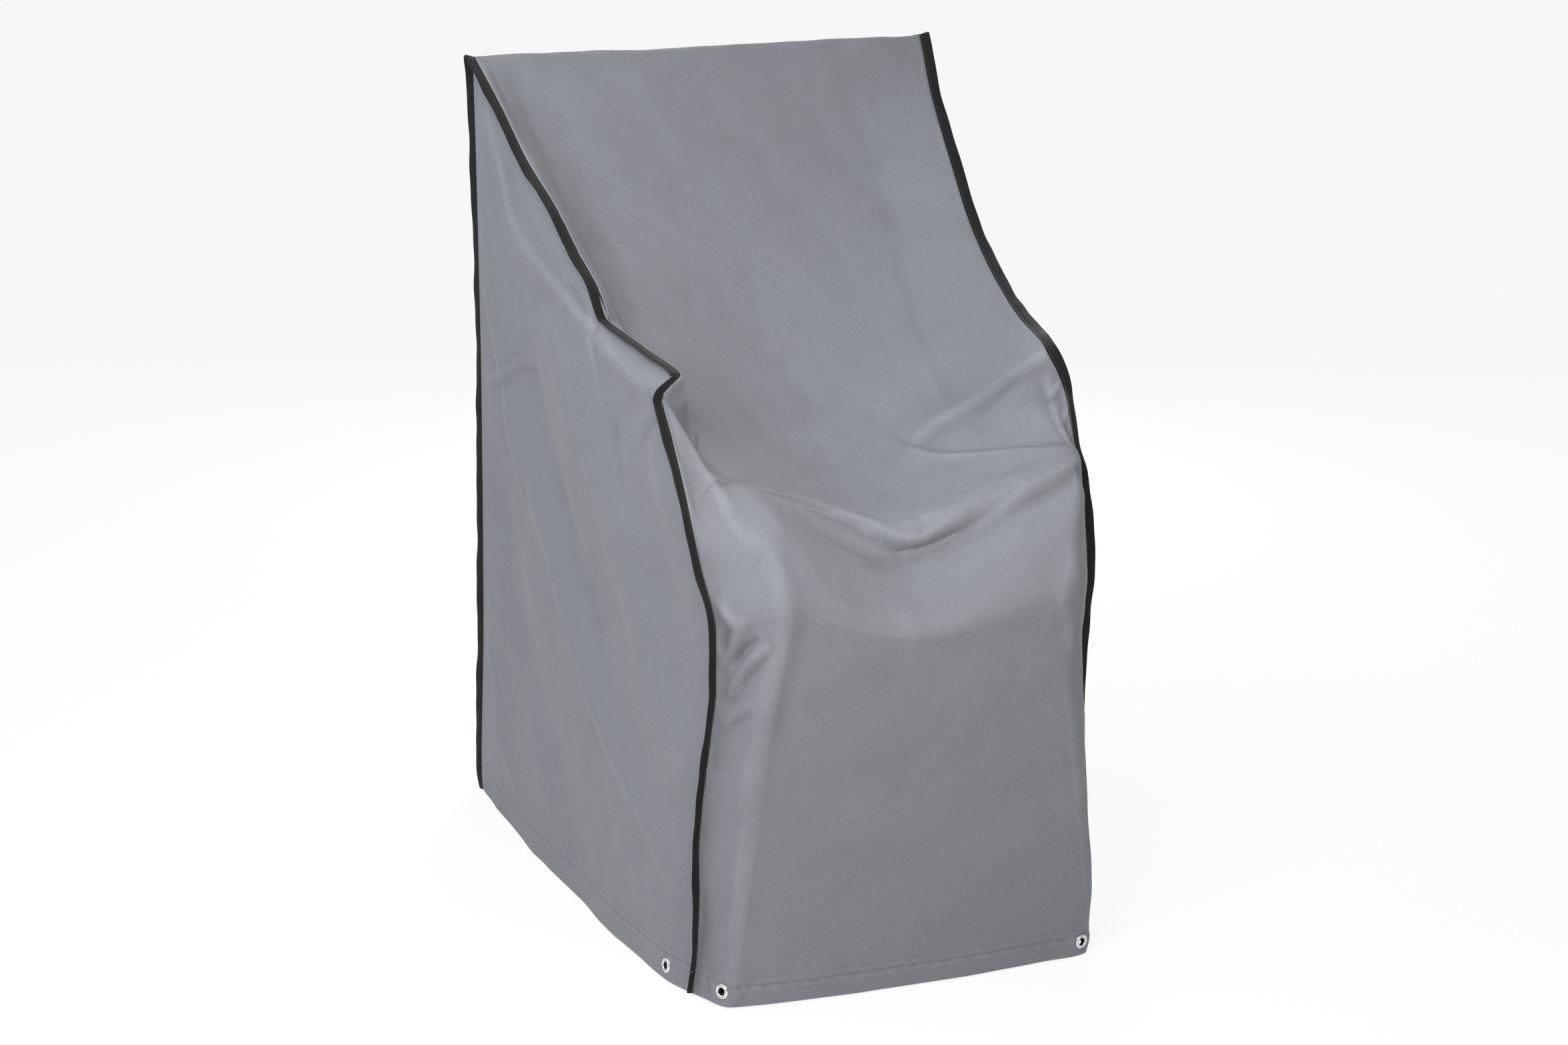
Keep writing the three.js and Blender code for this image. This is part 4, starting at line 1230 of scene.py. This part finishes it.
@dataclass(frozen=True)
class Eyelet:
    """A pressed two-part eyelet: domed front with a rolled barrel, and a washer behind the cloth.

    Attributes:
        sides: Steps round it.
        ply: Distance from the net to the outer face of the doubled cloth.
        back: Distance from the net to the inner face.
    """

    sides: int = 56
    ply: float = 2.75
    back: float = 0.85

    def rings(self) -> list[tuple[float, float, float]]:
        """The eyelet's section, from the barrel's mouth outwards and back behind the cloth.

        Returns:
            Radius, height over the net and how far each ring is made darker and rougher.
        """
        hole, rim = EYELET_HOLE / 2, EYELET_FLANGE / 2
        front = self.ply
        rear = -self.back
        return [
            (hole, front, 0.5), (hole + 0.02, front + 0.7, 0.1), (hole + 0.25, front + 1.15, 0),
            (hole + 0.7, front + 1.4, 0), (hole + 1.15, front + 1.3, 0), (hole + 1.45, front + 1.0, 0.5),
            (hole + 1.6, front + 0.72, 1), (hole + 1.8, front + 0.75, 1), (hole + 2.05, front + 1.0, 0.4),
            (hole + 2.6, front + 1.25, 0), (hole + 3.2, front + 1.2, 0), (rim - 0.6, front + 0.85, 0),
            (rim - 0.15, front + 0.4, 0.2), (rim, front + 0.05, 0.8), (rim - 0.3, front - 0.15, 1),
            (hole + 1.3, front - 0.15, 1), (hole + 1.2, front - 0.5, 1), (hole + 1.2, rear + 0.2, 1),
            (rim - 0.8, rear + 0.05, 1), (rim - 0.4, rear - 0.15, 0.4), (rim - 0.6, rear - 0.55, 0),
            (hole + 2.4, rear - 0.85, 0), (hole + 1.2, rear - 0.75, 0.5), (hole + 0.6, rear - 1.1, 0.2),
            (hole + 0.1, rear - 0.9, 0.2), (hole, rear - 0.3, 0.5),
        ]

    def model(self) -> bpy.types.Object:
        """Models one eyelet round +Z: a circle drawn out ring by ring and closed on itself.

        Returns:
            The eyelet.
        """
        rings = self.rings()
        select_none()
        radius, height, _ = rings[0]
        bpy.ops.mesh.primitive_circle_add(
            vertices=self.sides, radius=radius * MM, location=(0, 0, height * MM)
        )
        eyelet = bpy.context.object
        bpy.ops.object.transform_apply(location=True, rotation=False, scale=False)
        bpy.ops.object.mode_set(mode="EDIT")
        bpy.ops.mesh.select_all(action="SELECT")
        for (r0, h0, _), (r1, h1, _) in zip(rings, rings[1:]):
            bpy.ops.mesh.extrude_region_move(TRANSFORM_OT_translate={"value": (0, 0, (h1 - h0) * MM)})
            bpy.ops.transform.resize(value=(r1 / r0, r1 / r0, 1), center_override=(0, 0, h1 * MM))
        bpy.ops.mesh.select_all(action="DESELECT")
        bpy.ops.mesh.select_mode(type="EDGE")
        bpy.ops.mesh.select_non_manifold()
        bpy.ops.mesh.bridge_edge_loops()
        bpy.ops.mesh.select_all(action="SELECT")
        bpy.ops.mesh.normals_make_consistent(inside=False)
        bpy.ops.object.mode_set(mode="OBJECT")
        bpy.ops.object.shade_smooth_by_angle(angle=math.radians(55))
        # How far each point of the plating is made darker and rougher.
        dirt = eyelet.data.attributes.new("dirt", "FLOAT", "POINT")
        values = [self.dirt_at(math.hypot(v.co.x, v.co.y) / MM, v.co.z / MM) for v in eyelet.data.vertices]
        dirt.data.foreach_set("value", values)
        return eyelet

    def dirt_at(self, radius: float, height: float) -> float:
        """How far the ring that is nearest to a radius and height is made darker and rougher."""
        nearest = min(self.rings(), key=lambda ring: (ring[0] - radius) ** 2 + (ring[1] - height) ** 2)
        return nearest[2]

    def copy_onto(self, pattern: bpy.types.Object, name: str, seat: EyeletSeat) -> bpy.types.Object:
        """Copies the modelled eyelet, with a mesh of its own, onto a seat.

        Args:
            pattern: The modelled eyelet.
            name: Name of the copy.
            seat: Where it goes.

        Returns:
            The copy.
        """
        mesh = pattern.data.copy()
        mesh.name = name
        mesh.transform(seat.turn())
        piece = bpy.data.objects.new(name, mesh)
        bpy.context.scene.collection.objects.link(piece)
        return piece


def select_none() -> None:
    """Deselects every object."""
    bpy.ops.object.select_all(action="DESELECT")


def select_only(piece: bpy.types.Object) -> None:
    """Makes a piece the only selected object, and the active one.

    Args:
        piece: The piece.
    """
    select_none()
    piece.select_set(True)
    bpy.context.view_layer.objects.active = piece


def select_faces(piece: bpy.types.Object, wanted: Callable[[bpy.types.MeshPolygon], bool]) -> None:
    """Selects faces of a piece, and nothing else of it.

    Args:
        piece: The piece.
        wanted: Tells whether a face is to be selected.
    """
    mesh = piece.data
    for part in (mesh.vertices, mesh.edges, mesh.polygons):
        part.foreach_set("select", [False] * len(part))
    for face in mesh.polygons:
        face.select = wanted(face)


class Board:
    """Places shader nodes in a tree and joins their sockets.

    Attributes:
        tree: The tree.
        placed: How many nodes have been placed.
    """

    COLUMNS = 9  # nodes side by side in a row of the tree
    ACROSS, DOWN = 190, -260  # from a node to the next, and from a row to the next

    def __init__(self, tree: bpy.types.NodeTree) -> None:
        """Starts on a tree."""
        self.tree = tree
        self.placed = 0

    def node(self, kind: str, **settings: object) -> bpy.types.Node:
        """Adds a node.

        Args:
            kind: Its type.
            settings: Its own settings.

        Returns:
            The node.
        """
        node = self.tree.nodes.new(kind)
        row, column = divmod(self.placed, self.COLUMNS)
        node.location = (self.ACROSS * column, self.DOWN * row)
        self.placed += 1
        for key, value in settings.items():
            setattr(node, key, value)
        return node

    def put(self, node: bpy.types.Node, **values: object) -> bpy.types.Node:
        """Joins or sets inputs of a node.

        Args:
            node: The node.
            values: A socket or a plain value for each input, by its name with _ for a space.

        Returns:
            The node.
        """
        for key, value in values.items():
            self.feed(node.inputs[key.replace("_", " ")], value)
        return node

    def feed(self, socket: bpy.types.NodeSocket, value: object) -> None:
        """Joins or sets one input.

        Args:
            socket: The input.
            value: The socket to join it to, or a plain value.
        """
        if isinstance(value, bpy.types.NodeSocket):
            self.tree.links.new(value, socket)
        else:
            socket.default_value = value

    def maths(self, operation: str, *values: object, clamp: bool = False) -> bpy.types.NodeSocket:
        """Reckons with a Math node.

        Args:
            operation: What it does.
            values: What it does it to.
            clamp: Whether the result is kept between 0 and 1.

        Returns:
            The result.
        """
        node = self.node("ShaderNodeMath", operation=operation, use_clamp=clamp)
        for socket, value in zip(node.inputs, values):
            self.feed(socket, value)
        return node.outputs[0]

    def times(self, first: object, second: object) -> bpy.types.NodeSocket:
        """The product of two values."""
        return self.maths("MULTIPLY", first, second)

    def plus(self, first: object, second: object) -> bpy.types.NodeSocket:
        """The sum of two values."""
        return self.maths("ADD", first, second)

    def axes(self, vector: bpy.types.NodeSocket) -> bpy.types.NodeOutputs:
        """The X, Y and Z of a vector."""
        return self.put(self.node("ShaderNodeSeparateXYZ"), Vector=vector).outputs

    def scaled(self, vector: bpy.types.NodeSocket, x: float, y: float, z: float) -> bpy.types.NodeSocket:
        """Multiplies a vector axis by axis.

        Args:
            vector: The vector.
            x: Factor along X.
            y: Factor along Y.
            z: Factor along Z.

        Returns:
            The product.
        """
        node = self.node("ShaderNodeVectorMath", operation="MULTIPLY")
        for socket, value in zip(node.inputs, (vector, (x, y, z))):
            self.feed(socket, value)
        return node.outputs[0]

    def noise(
        self, vector: bpy.types.NodeSocket, scale: object, detail: float, rough: float = 0.5
    ) -> bpy.types.NodeSocket:
        """Makes clouds with a Noise Texture.

        Args:
            vector: Where it is read.
            scale: Clouds to the unit.
            detail: How many finer layers they have.
            rough: How strong the finer layers are.

        Returns:
            Its value.
        """
        node = self.node("ShaderNodeTexNoise")
        return self.put(node, Vector=vector, Scale=scale, Detail=detail, Roughness=rough).outputs[0]

    def span(
        self,
        value: object,
        low: object = 0.0,
        high: object = 1.0,
        to_low: object = 0.0,
        to_high: object = 1.0,
    ) -> bpy.types.NodeSocket:
        """Carries a value over from one range to another, and keeps it inside that.

        Args:
            value: The value.
            low: Where the first range begins.
            high: Where it ends.
            to_low: Where the second range begins.
            to_high: Where it ends.

        Returns:
            The value carried over.
        """
        node = self.node("ShaderNodeMapRange")
        for socket, each in zip(node.inputs, (value, low, high, to_low, to_high)):
            self.feed(socket, each)
        return node.outputs[0]

    def blend(self, share: object, first: object, second: object, kind: str = "MIX") -> bpy.types.NodeSocket:
        """Mixes two colours. The node's colour inputs share their names, so they go by number.

        Args:
            share: Share of the second colour.
            first: A socket or a plain colour.
            second: A socket or a plain colour.
            kind: How they are mixed.

        Returns:
            The mixed colour.
        """
        node = self.node("ShaderNodeMix", data_type="RGBA", blend_type=kind)
        self.feed(node.inputs[0], share)
        for place, value in ((6, first), (7, second)):
            plain = not isinstance(value, bpy.types.NodeSocket)
            self.feed(node.inputs[place], (*value, 1) if plain else value)
        return node.outputs[2]

    def ribs(self, cut: bpy.types.NodeSocket, across: float, along: float) -> bpy.types.NodeSocket:
        """Makes slanting ribs.

        Args:
            cut: Cut coordinates, in metres.
            across: Ribs to the metre across.
            along: Ribs to the metre along.

        Returns:
            A wave from -1 to 1.
        """
        axes = self.axes(cut)
        slant = self.plus(self.times(axes[0], across), self.times(axes[1], along))
        return self.maths("SINE", self.times(slant, math.tau))

    def bump(self, **values: object) -> bpy.types.NodeSocket:
        """The way that a surface with a relief faces, from the inputs of a Bump node."""
        return self.put(self.node("ShaderNodeBump"), **values).outputs[0]


class Effects:
    """The effects that several finishes share, as node groups.

    Attributes:
        threads: Woven threads.
        mottling: Soft uneven blotches, large and small, from 0 to 1.
        specks: Scattered specks of lint, dust or scratches, from 0 to 1.
    """

    def __init__(self) -> None:
        """Builds the groups."""
        self.threads = self._threads()
        self.mottling = self._mottling()
        self.specks = self._specks()

    @staticmethod
    def _group(
        name: str, inputs: Sequence[str], outputs: Sequence[str]
    ) -> tuple[Board, dict[str, bpy.types.NodeSocket], bpy.types.Node]:
        """Starts a group.

        Args:
            name: Its name.
            inputs: Names of the numbers that it takes besides a vector.
            outputs: Names of its results.

        Returns:
            Its board, its input sockets by name and its output node.
        """
        tree = bpy.data.node_groups.new(name, "ShaderNodeTree")
        tree.interface.new_socket("Vector", in_out="INPUT", socket_type="NodeSocketVector")
        for way, names in (("INPUT", inputs), ("OUTPUT", outputs)):
            for socket in names:
                tree.interface.new_socket(socket, in_out=way, socket_type="NodeSocketFloat")
        board = Board(tree)
        start = board.node("NodeGroupInput")
        end = board.node("NodeGroupOutput")
        return board, {socket: start.outputs[socket] for socket in ("Vector", *inputs)}, end

    def _threads(self) -> bpy.types.NodeTree:
        """Builds an even plain weave, with slubs along both ways of the cloth.

        Returns:
            The group.
        """
        board, given, end = self._group("woven threads", ("Threads", "Slubs"), ("Height", "Tone"))
        cut = given["Vector"]
        axes = board.axes(cut)
        ripple = []
        for axis in (0, 1):
            turns = board.times(axes[axis], given["Threads"])
            ripple.append(board.maths("SINE", board.times(turns, math.tau)))
        weave = board.times(*ripple)
        warp = board.noise(board.scaled(cut, 900, 105, 1), 1.0, 2.0)
        weft = board.noise(board.scaled(cut, 120, 820, 1), 1.0, 2.0)
        grain = board.noise(cut, 780.0, 2.0)
        slubs = board.plus(board.times(board.plus(warp, weft), 0.38), board.times(grain, 0.24))
        even = board.maths("SUBTRACT", slubs, 0.5)
        height = board.maths("MULTIPLY_ADD", weave, 0.12, board.times(even, 1.4))
        plain = board.maths("MULTIPLY_ADD", weave, 0.012, 1.0)
        board.put(end, Height=height, Tone=board.plus(plain, board.times(even, given["Slubs"])))
        return board.tree

    def _mottling(self) -> bpy.types.NodeTree:
        """Builds the blotches.

        Returns:
            The group.
        """
        board, given, end = self._group("soft mottling", ("Size",), ("Value",))
        large = board.noise(given["Vector"], given["Size"], 2.0)
        small = board.noise(given["Vector"], board.times(given["Size"], 5.3), 3.0, 0.6)
        mixed = board.plus(board.times(large, 0.65), board.times(small, 0.35))
        board.put(end, Value=board.span(mixed, low=0.34, high=0.66))
        return board.tree

    def _specks(self) -> bpy.types.NodeTree:
        """Builds the specks.

        Returns:
            The group.
        """
        board, given, end = self._group("specks", ("Size", "Amount"), ("Mask",))
        fine = board.noise(given["Vector"], given["Size"], 1.0, 0.4)
        level = board.span(given["Amount"], to_low=0.85, to_high=0.45)
        board.put(end, Mask=board.span(fine, low=level, high=board.plus(level, 0.07)))
        return board.tree

    @staticmethod
    def use(board: Board, group: bpy.types.NodeTree, **values: object) -> bpy.types.NodeOutputs:
        """The results of a group, placed on a board with its values."""
        return board.put(board.node("ShaderNodeGroup", node_tree=group), **values).outputs


def started(name: str) -> tuple[bpy.types.Material, Board, bpy.types.Node]:
    """Starts a material.

    Args:
        name: Its name.

    Returns:
        The material, the board of its tree, and its shader.
    """
    material = bpy.data.materials.new(name)
    material.use_nodes = True
    return material, Board(material.node_tree), material.node_tree.nodes["Principled BSDF"]


@dataclass(frozen=True)
class ClothFinish:
    """Matt coated cloth with a fine weave and soft mottling; its crests are a little lighter, partly from
    abrasion and partly as a painted highlight, and its creases carry painted shade.

    Attributes:
        name: Name of the material.
        light: Its lighter tone.
        dark: Its darker tone.
        wear_dust_and_highlight: Tone of a sharp crest, lighter from abrasion and from a painted highlight; dust
            specks take it too.
    """

    name: str = "coated cloth"
    light: Colour = (0.195, 0.203, 0.221)
    dark: Colour = (0.184, 0.192, 0.21)
    wear_dust_and_highlight: Colour = (0.25, 0.26, 0.28)

    def material(self, effects: Effects) -> bpy.types.Material:
        """Makes the material.

        Args:
            effects: The shared effects.

        Returns:
            The material.
        """
        material, board, shader = started(self.name)
        cut = board.node("ShaderNodeUVMap", uv_map="cut").outputs[0]
        threads = effects.use(board, effects.threads, Vector=cut, Threads=1150.0, Slubs=0.8)
        blotches = effects.use(board, effects.mottling, Vector=cut, Size=7.0)[0]
        dust = effects.use(board, effects.specks, Vector=cut, Size=260.0, Amount=0.3)[0]
        crest = board.node("ShaderNodeAttribute", attribute_name="crest").outputs["Fac"]
        # Crests made lighter: partly abrasion, partly a painted highlight along the ridges.
        crest_wear_and_highlight = board.times(board.span(crest, low=0.2, to_high=0.55), blotches)
        base = board.blend(blotches, self.dark, self.light)
        base = board.blend(crest_wear_and_highlight, base, self.wear_dust_and_highlight)
        base = board.blend(board.times(dust, 0.25), base, self.wear_dust_and_highlight)
        # Painted shade: creases made darker, down to 0.86 of the tone in the sharpest.
        crease_shade = board.span(crest, low=-1.0, high=-0.15, to_low=0.86)
        tone = board.times(threads["Tone"], crease_shade)
        rumple = board.noise(board.scaled(cut, 34, 30, 1), 1.0, 4.0, 0.55)
        weave = board.bump(Strength=0.55, Distance=0.00028, Height=threads["Height"])
        board.put(
            shader,
            Base_Color=board.blend(1.0, base, tone, "MULTIPLY"),
            Roughness=board.span(blotches, to_low=0.66, to_high=0.8),
            Normal=board.bump(Strength=0.5, Distance=0.0011, Height=rumple, Normal=weave),
            Sheen_Weight=0.12,
            Sheen_Roughness=0.45,
            Specular_IOR_Level=0.32,
        )
        return material


@dataclass(frozen=True)
class TapeFinish:
    """Black ribbed tape, rubbed lighter along its fold, with a little lint.

    Attributes:
        name: Name of the material.
        black: Its colour.
        rubbed_highlight: Colour of its fold, lighter from rubbing and from a painted highlight; uneven patches
            take it too.
        lint: Colour of the lint on it.
        width: Width of the tape, in metres.
    """

    name: str = "binding tape"
    black: Colour = (0.0062, 0.0064, 0.0072)
    rubbed_highlight: Colour = (0.024, 0.0245, 0.026)
    lint: Colour = (0.14, 0.14, 0.145)
    width: float = TAPE * MM

    def material(self, effects: Effects) -> bpy.types.Material:
        """Makes the material.

        Args:
            effects: The shared effects.

        Returns:
            The material.
        """
        material, board, shader = started(self.name)
        cut = board.node("ShaderNodeUVMap", uv_map="cut").outputs[0]
        blotches = effects.use(board, effects.mottling, Vector=cut, Size=45.0)[0]
        drawn_out = board.scaled(cut, 1, 0.35, 1)
        lint = effects.use(board, effects.specks, Vector=drawn_out, Size=700.0, Amount=0.42)[0]
        across = board.axes(cut)[0]
        # The fold's rounded edge made lighter: partly rubbing, partly a painted highlight.
        fold = board.span(across, low=0.88 * self.width, high=1.02 * self.width, to_high=0.55)
        colour = board.blend(board.times(fold, blotches), self.black, self.rubbed_highlight)
        colour = board.blend(board.times(blotches, 0.22), colour, self.rubbed_highlight)
        ribs = board.ribs(cut, across=650.0, along=900.0)
        height = board.plus(board.times(ribs, 0.5), board.noise(cut, 900.0, 2.0))
        board.put(
            shader,
            Base_Color=board.blend(board.times(lint, 0.16), colour, self.lint),
            Roughness=board.span(blotches, to_low=0.62, to_high=0.8),
            Normal=board.bump(Strength=0.6, Distance=0.00016, Height=height),
            Sheen_Weight=0.06,
            Sheen_Roughness=0.5,
            Specular_IOR_Level=0.2,
        )
        return material


@dataclass(frozen=True)
class PlatedFinish:
    """Nickel plating with fine scratches, dulled in its grooves.

    Attributes:
        name: Name of the material.
        bright: Its colour.
        dull: Colour of its grooves.
    """

    name: str = "nickel plating"
    bright: Colour = (0.86, 0.865, 0.875)
    dull: Colour = (0.3, 0.29, 0.28)

    def material(self, effects: Effects) -> bpy.types.Material:
        """Makes the material.

        Args:
            effects: The shared effects.

        Returns:
            The material.
        """
        material, board, shader = started(self.name)
        place = board.node("ShaderNodeTexCoord").outputs["Object"]
        dirt = board.node("ShaderNodeAttribute", attribute_name="dirt").outputs["Fac"]
        blotches = effects.use(board, effects.mottling, Vector=place, Size=240.0)[0]
        drawn_out = board.scaled(place, 1, 1, 0.12)
        scratches = effects.use(board, effects.specks, Vector=drawn_out, Size=2600.0, Amount=0.4)[0]
        # Darker and rougher, unevenly, in the grooves, at the barrel's mouth and rim, and behind the cloth.
        darkened_mask = board.maths("MULTIPLY", dirt, board.span(blotches, to_low=0.55), clamp=True)
        dulled = board.span(darkened_mask, to_low=0.2, to_high=0.5)
        board.put(
            shader,
            Base_Color=board.blend(darkened_mask, self.bright, self.dull),
            Roughness=board.maths("MULTIPLY_ADD", scratches, 0.12, dulled),
            Normal=board.bump(Strength=0.25, Distance=0.00005, Height=scratches),
            Metallic=1.0,
        )
        return material


@dataclass(frozen=True)
class ThreadFinish:
    """Twisted sewing thread.

    Attributes:
        name: Name of the material.
        light: Its lighter tone.
        dark: Its darker tone.
    """

    name: str
    light: Colour
    dark: Colour

    def material(self, effects: Effects) -> bpy.types.Material:
        """Makes the material.

        Args:
            effects: The shared effects.

        Returns:
            The material.
        """
        material, board, shader = started(self.name)
        cut = board.node("ShaderNodeUVMap", uv_map="cut").outputs[0]
        twist = board.ribs(cut, across=1700.0, along=1300.0)
        blotches = effects.use(board, effects.mottling, Vector=cut, Size=90.0)[0]
        share = board.maths("MULTIPLY_ADD", twist, 0.25, blotches, clamp=True)
        board.put(
            shader,
            Base_Color=board.blend(share, self.dark, self.light),
            Roughness=0.55,
            Normal=board.bump(Strength=0.5, Distance=0.0001, Height=twist),
            Sheen_Weight=0.3,
        )
        return material


@dataclass(frozen=True)
class Lamp:
    """A square soft light, placed in metres above the hem and turned to the middle of the cover.

    Attributes:
        name: Name of the light.
        spot: Where it stands.
        size: Length of its side.
        watts: Its power.
        colour: Its colour.
    """

    name: str
    spot: tuple[float, float, float]
    size: float
    watts: float
    colour: Colour = (1.0, 1.0, 1.0)

    AIM = (0, 0, 0.55)  # the middle of the cover

    def place(self) -> None:
        """Adds the light."""
        lamp = bpy.data.lights.new(self.name, "AREA")
        lamp.shape = "SQUARE"
        lamp.size = self.size
        lamp.energy = self.watts
        lamp.color = self.colour
        holder = bpy.data.objects.new(self.name, lamp)
        place = Vector(self.spot) - Vector(CARRIER * MM)
        aim = Vector(self.AIM) - Vector(CARRIER * MM) - place
        holder.matrix_world = Matrix.Translation(place) @ aim.to_track_quat("-Z", "Y").to_matrix().to_4x4()
        holder.visible_camera = False
        bpy.context.scene.collection.objects.link(holder)


LAMPS = (
    Lamp("key", (-1.1, -1.5, 1.7), 1.0, 18.5),
    Lamp("high", (-0.3, -1.0, 1.4), 1.0, 9.5),
    Lamp("left", (-1.4, 0.3, 2.0), 1.0, 14.0, (0.86, 0.9, 1.0)),
    Lamp("behind", (0.9, 2.2, 1.5), 1.2, 34),
)


@dataclass(frozen=True)
class ShootingPlace:
    """The camera and the plain studio round the cover, in metres above the hem.

    Attributes:
        azimuth: Way round from straight in front, in degrees.
        elevation: Height above the horizon, in degrees.
        distance: Distance from the target.
        target: The point in the middle of the picture.
        lens: Focal length for a sensor 36 mm wide.
        surroundings: Strength of the even light from all round.
        whiteness: How far the camera sees the floor as an even white.
        dark_inside: Half the width and the depth of the floor inside the cover, which stays shaded.
    """

    azimuth: float = -20.0128
    elevation: float = 15.9158
    distance: float = 4.3633
    target: tuple[float, float, float] = (0.0141, 0.0, 0.4605)
    lens: float = 36 * 4800 / 2352
    surroundings: float = 0.42
    whiteness: float = 0.88
    dark_inside: tuple[float, float] = (0.236, 0.79)

    SENSOR = 36  # width of the camera's sensor, in millimetres
    FLOOR = 60  # side of the floor
    GAP = 2.5  # millimetres from the floor up to the hem

    def place_camera(self) -> None:
        """Makes the camera and looks through it."""
        a, e = math.radians(self.azimuth), math.radians(self.elevation)
        back = Vector((math.sin(a) * math.cos(e), -math.cos(a) * math.cos(e), math.sin(e)))
        right = Vector((0, 0, 1)).cross(back).normalized()
        up = back.cross(right)
        camera = bpy.data.cameras.new("camera")
        camera.sensor_width = self.SENSOR
        camera.sensor_fit = "HORIZONTAL"
        camera.lens = self.lens
        camera.clip_end = 100
        holder = bpy.data.objects.new("camera", camera)
        turn = Matrix((right, up, back)).transposed().to_4x4()
        spot = Vector(self.target) + back * self.distance - Vector(CARRIER * MM)
        holder.matrix_world = Matrix.Translation(spot) @ turn
        bpy.context.scene.collection.objects.link(holder)
        bpy.context.scene.camera = holder

    def dress(self) -> None:
        """Adds the pale floor, the pale surroundings and the lights."""
        select_none()
        bpy.ops.mesh.primitive_plane_add(size=self.FLOOR, location=(0, 0, -(CARRIER[2] + self.GAP) * MM))
        floor = bpy.context.object
        floor.name = "floor"
        bpy.ops.object.transform_apply(location=True, rotation=True, scale=True)
        floor.data.materials.append(self.floor_finish())
        world = bpy.data.worlds.new("studio")
        world.use_nodes = True
        background = world.node_tree.nodes["Background"]
        background.inputs["Color"].default_value = (1.0, 1.0, 1.0, 1)
        background.inputs["Strength"].default_value = self.surroundings
        bpy.context.scene.world = world
        bpy.context.scene.view_settings.view_transform = "Standard"
        for lamp in LAMPS:
            lamp.place()

    def floor_finish(self) -> bpy.types.Material:
        """Makes the floor's pale coat, which the camera sees as an even white outside the cover.

        Returns:
            The material.
        """
        finish, board, shader = started("pale floor")
        place = board.node("ShaderNodeTexCoord").outputs["Object"]
        clouds = board.noise(place, 3.0, 3.0)
        tone = board.span(clouds, low=0.3, high=0.7, to_low=0.94, to_high=0.96)
        board.put(shader, Base_Color=tone, Roughness=0.9)
        glow = board.node("ShaderNodeEmission")
        axes = board.axes(place)
        half_width, depth = self.dark_inside
        beside = board.maths("GREATER_THAN", board.maths("ABSOLUTE", axes["X"]), half_width)
        ahead = board.maths("LESS_THAN", axes["Y"], -depth)
        behind = board.maths("GREATER_THAN", axes["Y"], 0.0)
        open_floor = board.maths("MAXIMUM", board.maths("MAXIMUM", beside, ahead), behind)
        camera = board.node("ShaderNodeLightPath").outputs["Is Camera Ray"]
        seen = board.times(board.times(camera, open_floor), self.whiteness)
        mix = board.node("ShaderNodeMixShader")
        for socket, value in zip(mix.inputs, (seen, shader.outputs[0], glow.outputs[0])):
            board.feed(socket, value)
        board.feed(finish.node_tree.nodes["Material Output"].inputs["Surface"], mix.outputs[0])
        return finish


@dataclass
class Cover:
    """The whole cover: its cloth, binding, stitching and eyelets, with their finishes.

    Attributes:
        effects: Node groups that the finishes share.
        strip: The long strip.
        panels: The side panels.
        bindings: The tapes.
    """

    effects: Effects
    strip: LongStrip
    panels: list[SidePanel]
    bindings: list[Binding]

    def fit(
        self, piece: bpy.types.Object, finish: bpy.types.Material, slot: str, *nodes: str
    ) -> bpy.types.Object:
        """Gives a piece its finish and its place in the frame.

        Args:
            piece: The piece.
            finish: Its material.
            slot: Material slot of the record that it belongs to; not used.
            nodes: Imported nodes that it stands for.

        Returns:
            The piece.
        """
        piece.data.materials.clear()
        piece.data.materials.append(finish)
        if nodes:
            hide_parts(*nodes)
        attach(piece, "root")
        LOG.info("%s: %d faces", piece.name, len(piece.data.polygons))
        return piece

    def build(self) -> None:
        """Builds every piece."""
        cloth = ClothFinish().material(self.effects)
        tape = TapeFinish().material(self.effects)
        strip = self.fit(self.strip.build(), cloth, "cloth", "main-strip", "hem-front")
        for panel in self.panels:
            word = panel.side.word
            piece = self.fit(panel.build(), cloth, "cloth", f"side-panel-{word}", f"hem-{word}")
        for binding in self.bindings:
            self.fit(binding.build(), tape, "binding", f"binding-{binding.side.word}")
        self.sew()
        self.press_eyelets()

    def sew(self) -> None:
        """Adds the stitch rows of the hems and the tapes."""
        grey = ThreadFinish("grey thread", (0.2, 0.205, 0.215), (0.1, 0.103, 0.11))
        black = ThreadFinish("black thread", (0.035, 0.036, 0.038), (0.012, 0.012, 0.013))
        hem_finish, tape_finish = grey.material(self.effects), black.material(self.effects)
        rows = self.strip.stitch_paths()
        for panel in self.panels:
            rows += panel.stitch_paths()
        for binding in self.bindings:
            rows += binding.crossing_paths(0.5 * (self.strip.hem.stitch + self.panels[0].hem.stitch))
        self.fit(Stitching("hem_stitches").build(rows), hem_finish, "cloth")
        for binding in self.bindings:
            stitching = Stitching(f"tape_stitches_{binding.side.word}", pitch=3.4, length=2.7, radius=0.26)
            self.fit(stitching.build(binding.stitch_paths()), tape_finish, "binding")

    def press_eyelets(self) -> None:
        """Presses the four eyelets into the hems."""
        plated = PlatedFinish().material(self.effects)
        eyelet = Eyelet()
        pattern = eyelet.model()
        for seat_name, seat in self.seats().items():
            piece = eyelet.copy_onto(pattern, seat_name.replace("-", "_"), seat)
            self.fit(piece, plated, "eyelet", seat_name)
        bpy.data.objects.remove(pattern)

    def seats(self) -> dict[str, EyeletSeat]:
        """Gathers the seats of the eyelets.

        Returns:
            The seat of each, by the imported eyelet's name.
        """
        found = dict(self.strip.seats)
        for panel in self.panels:
            found |= panel.seats
        return found


def main() -> None:
    """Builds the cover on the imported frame."""
    logging.basicConfig(level=logging.INFO, format="%(name)s: %(message)s")
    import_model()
    place = ShootingPlace()
    place.place_camera()
    place.dress()
    panels, bindings = [SidePanel(side) for side in Side], [Binding(side) for side in Side]
    Cover(Effects(), LongStrip(), panels, bindings).build()


if __name__ == "__main__":
    main()
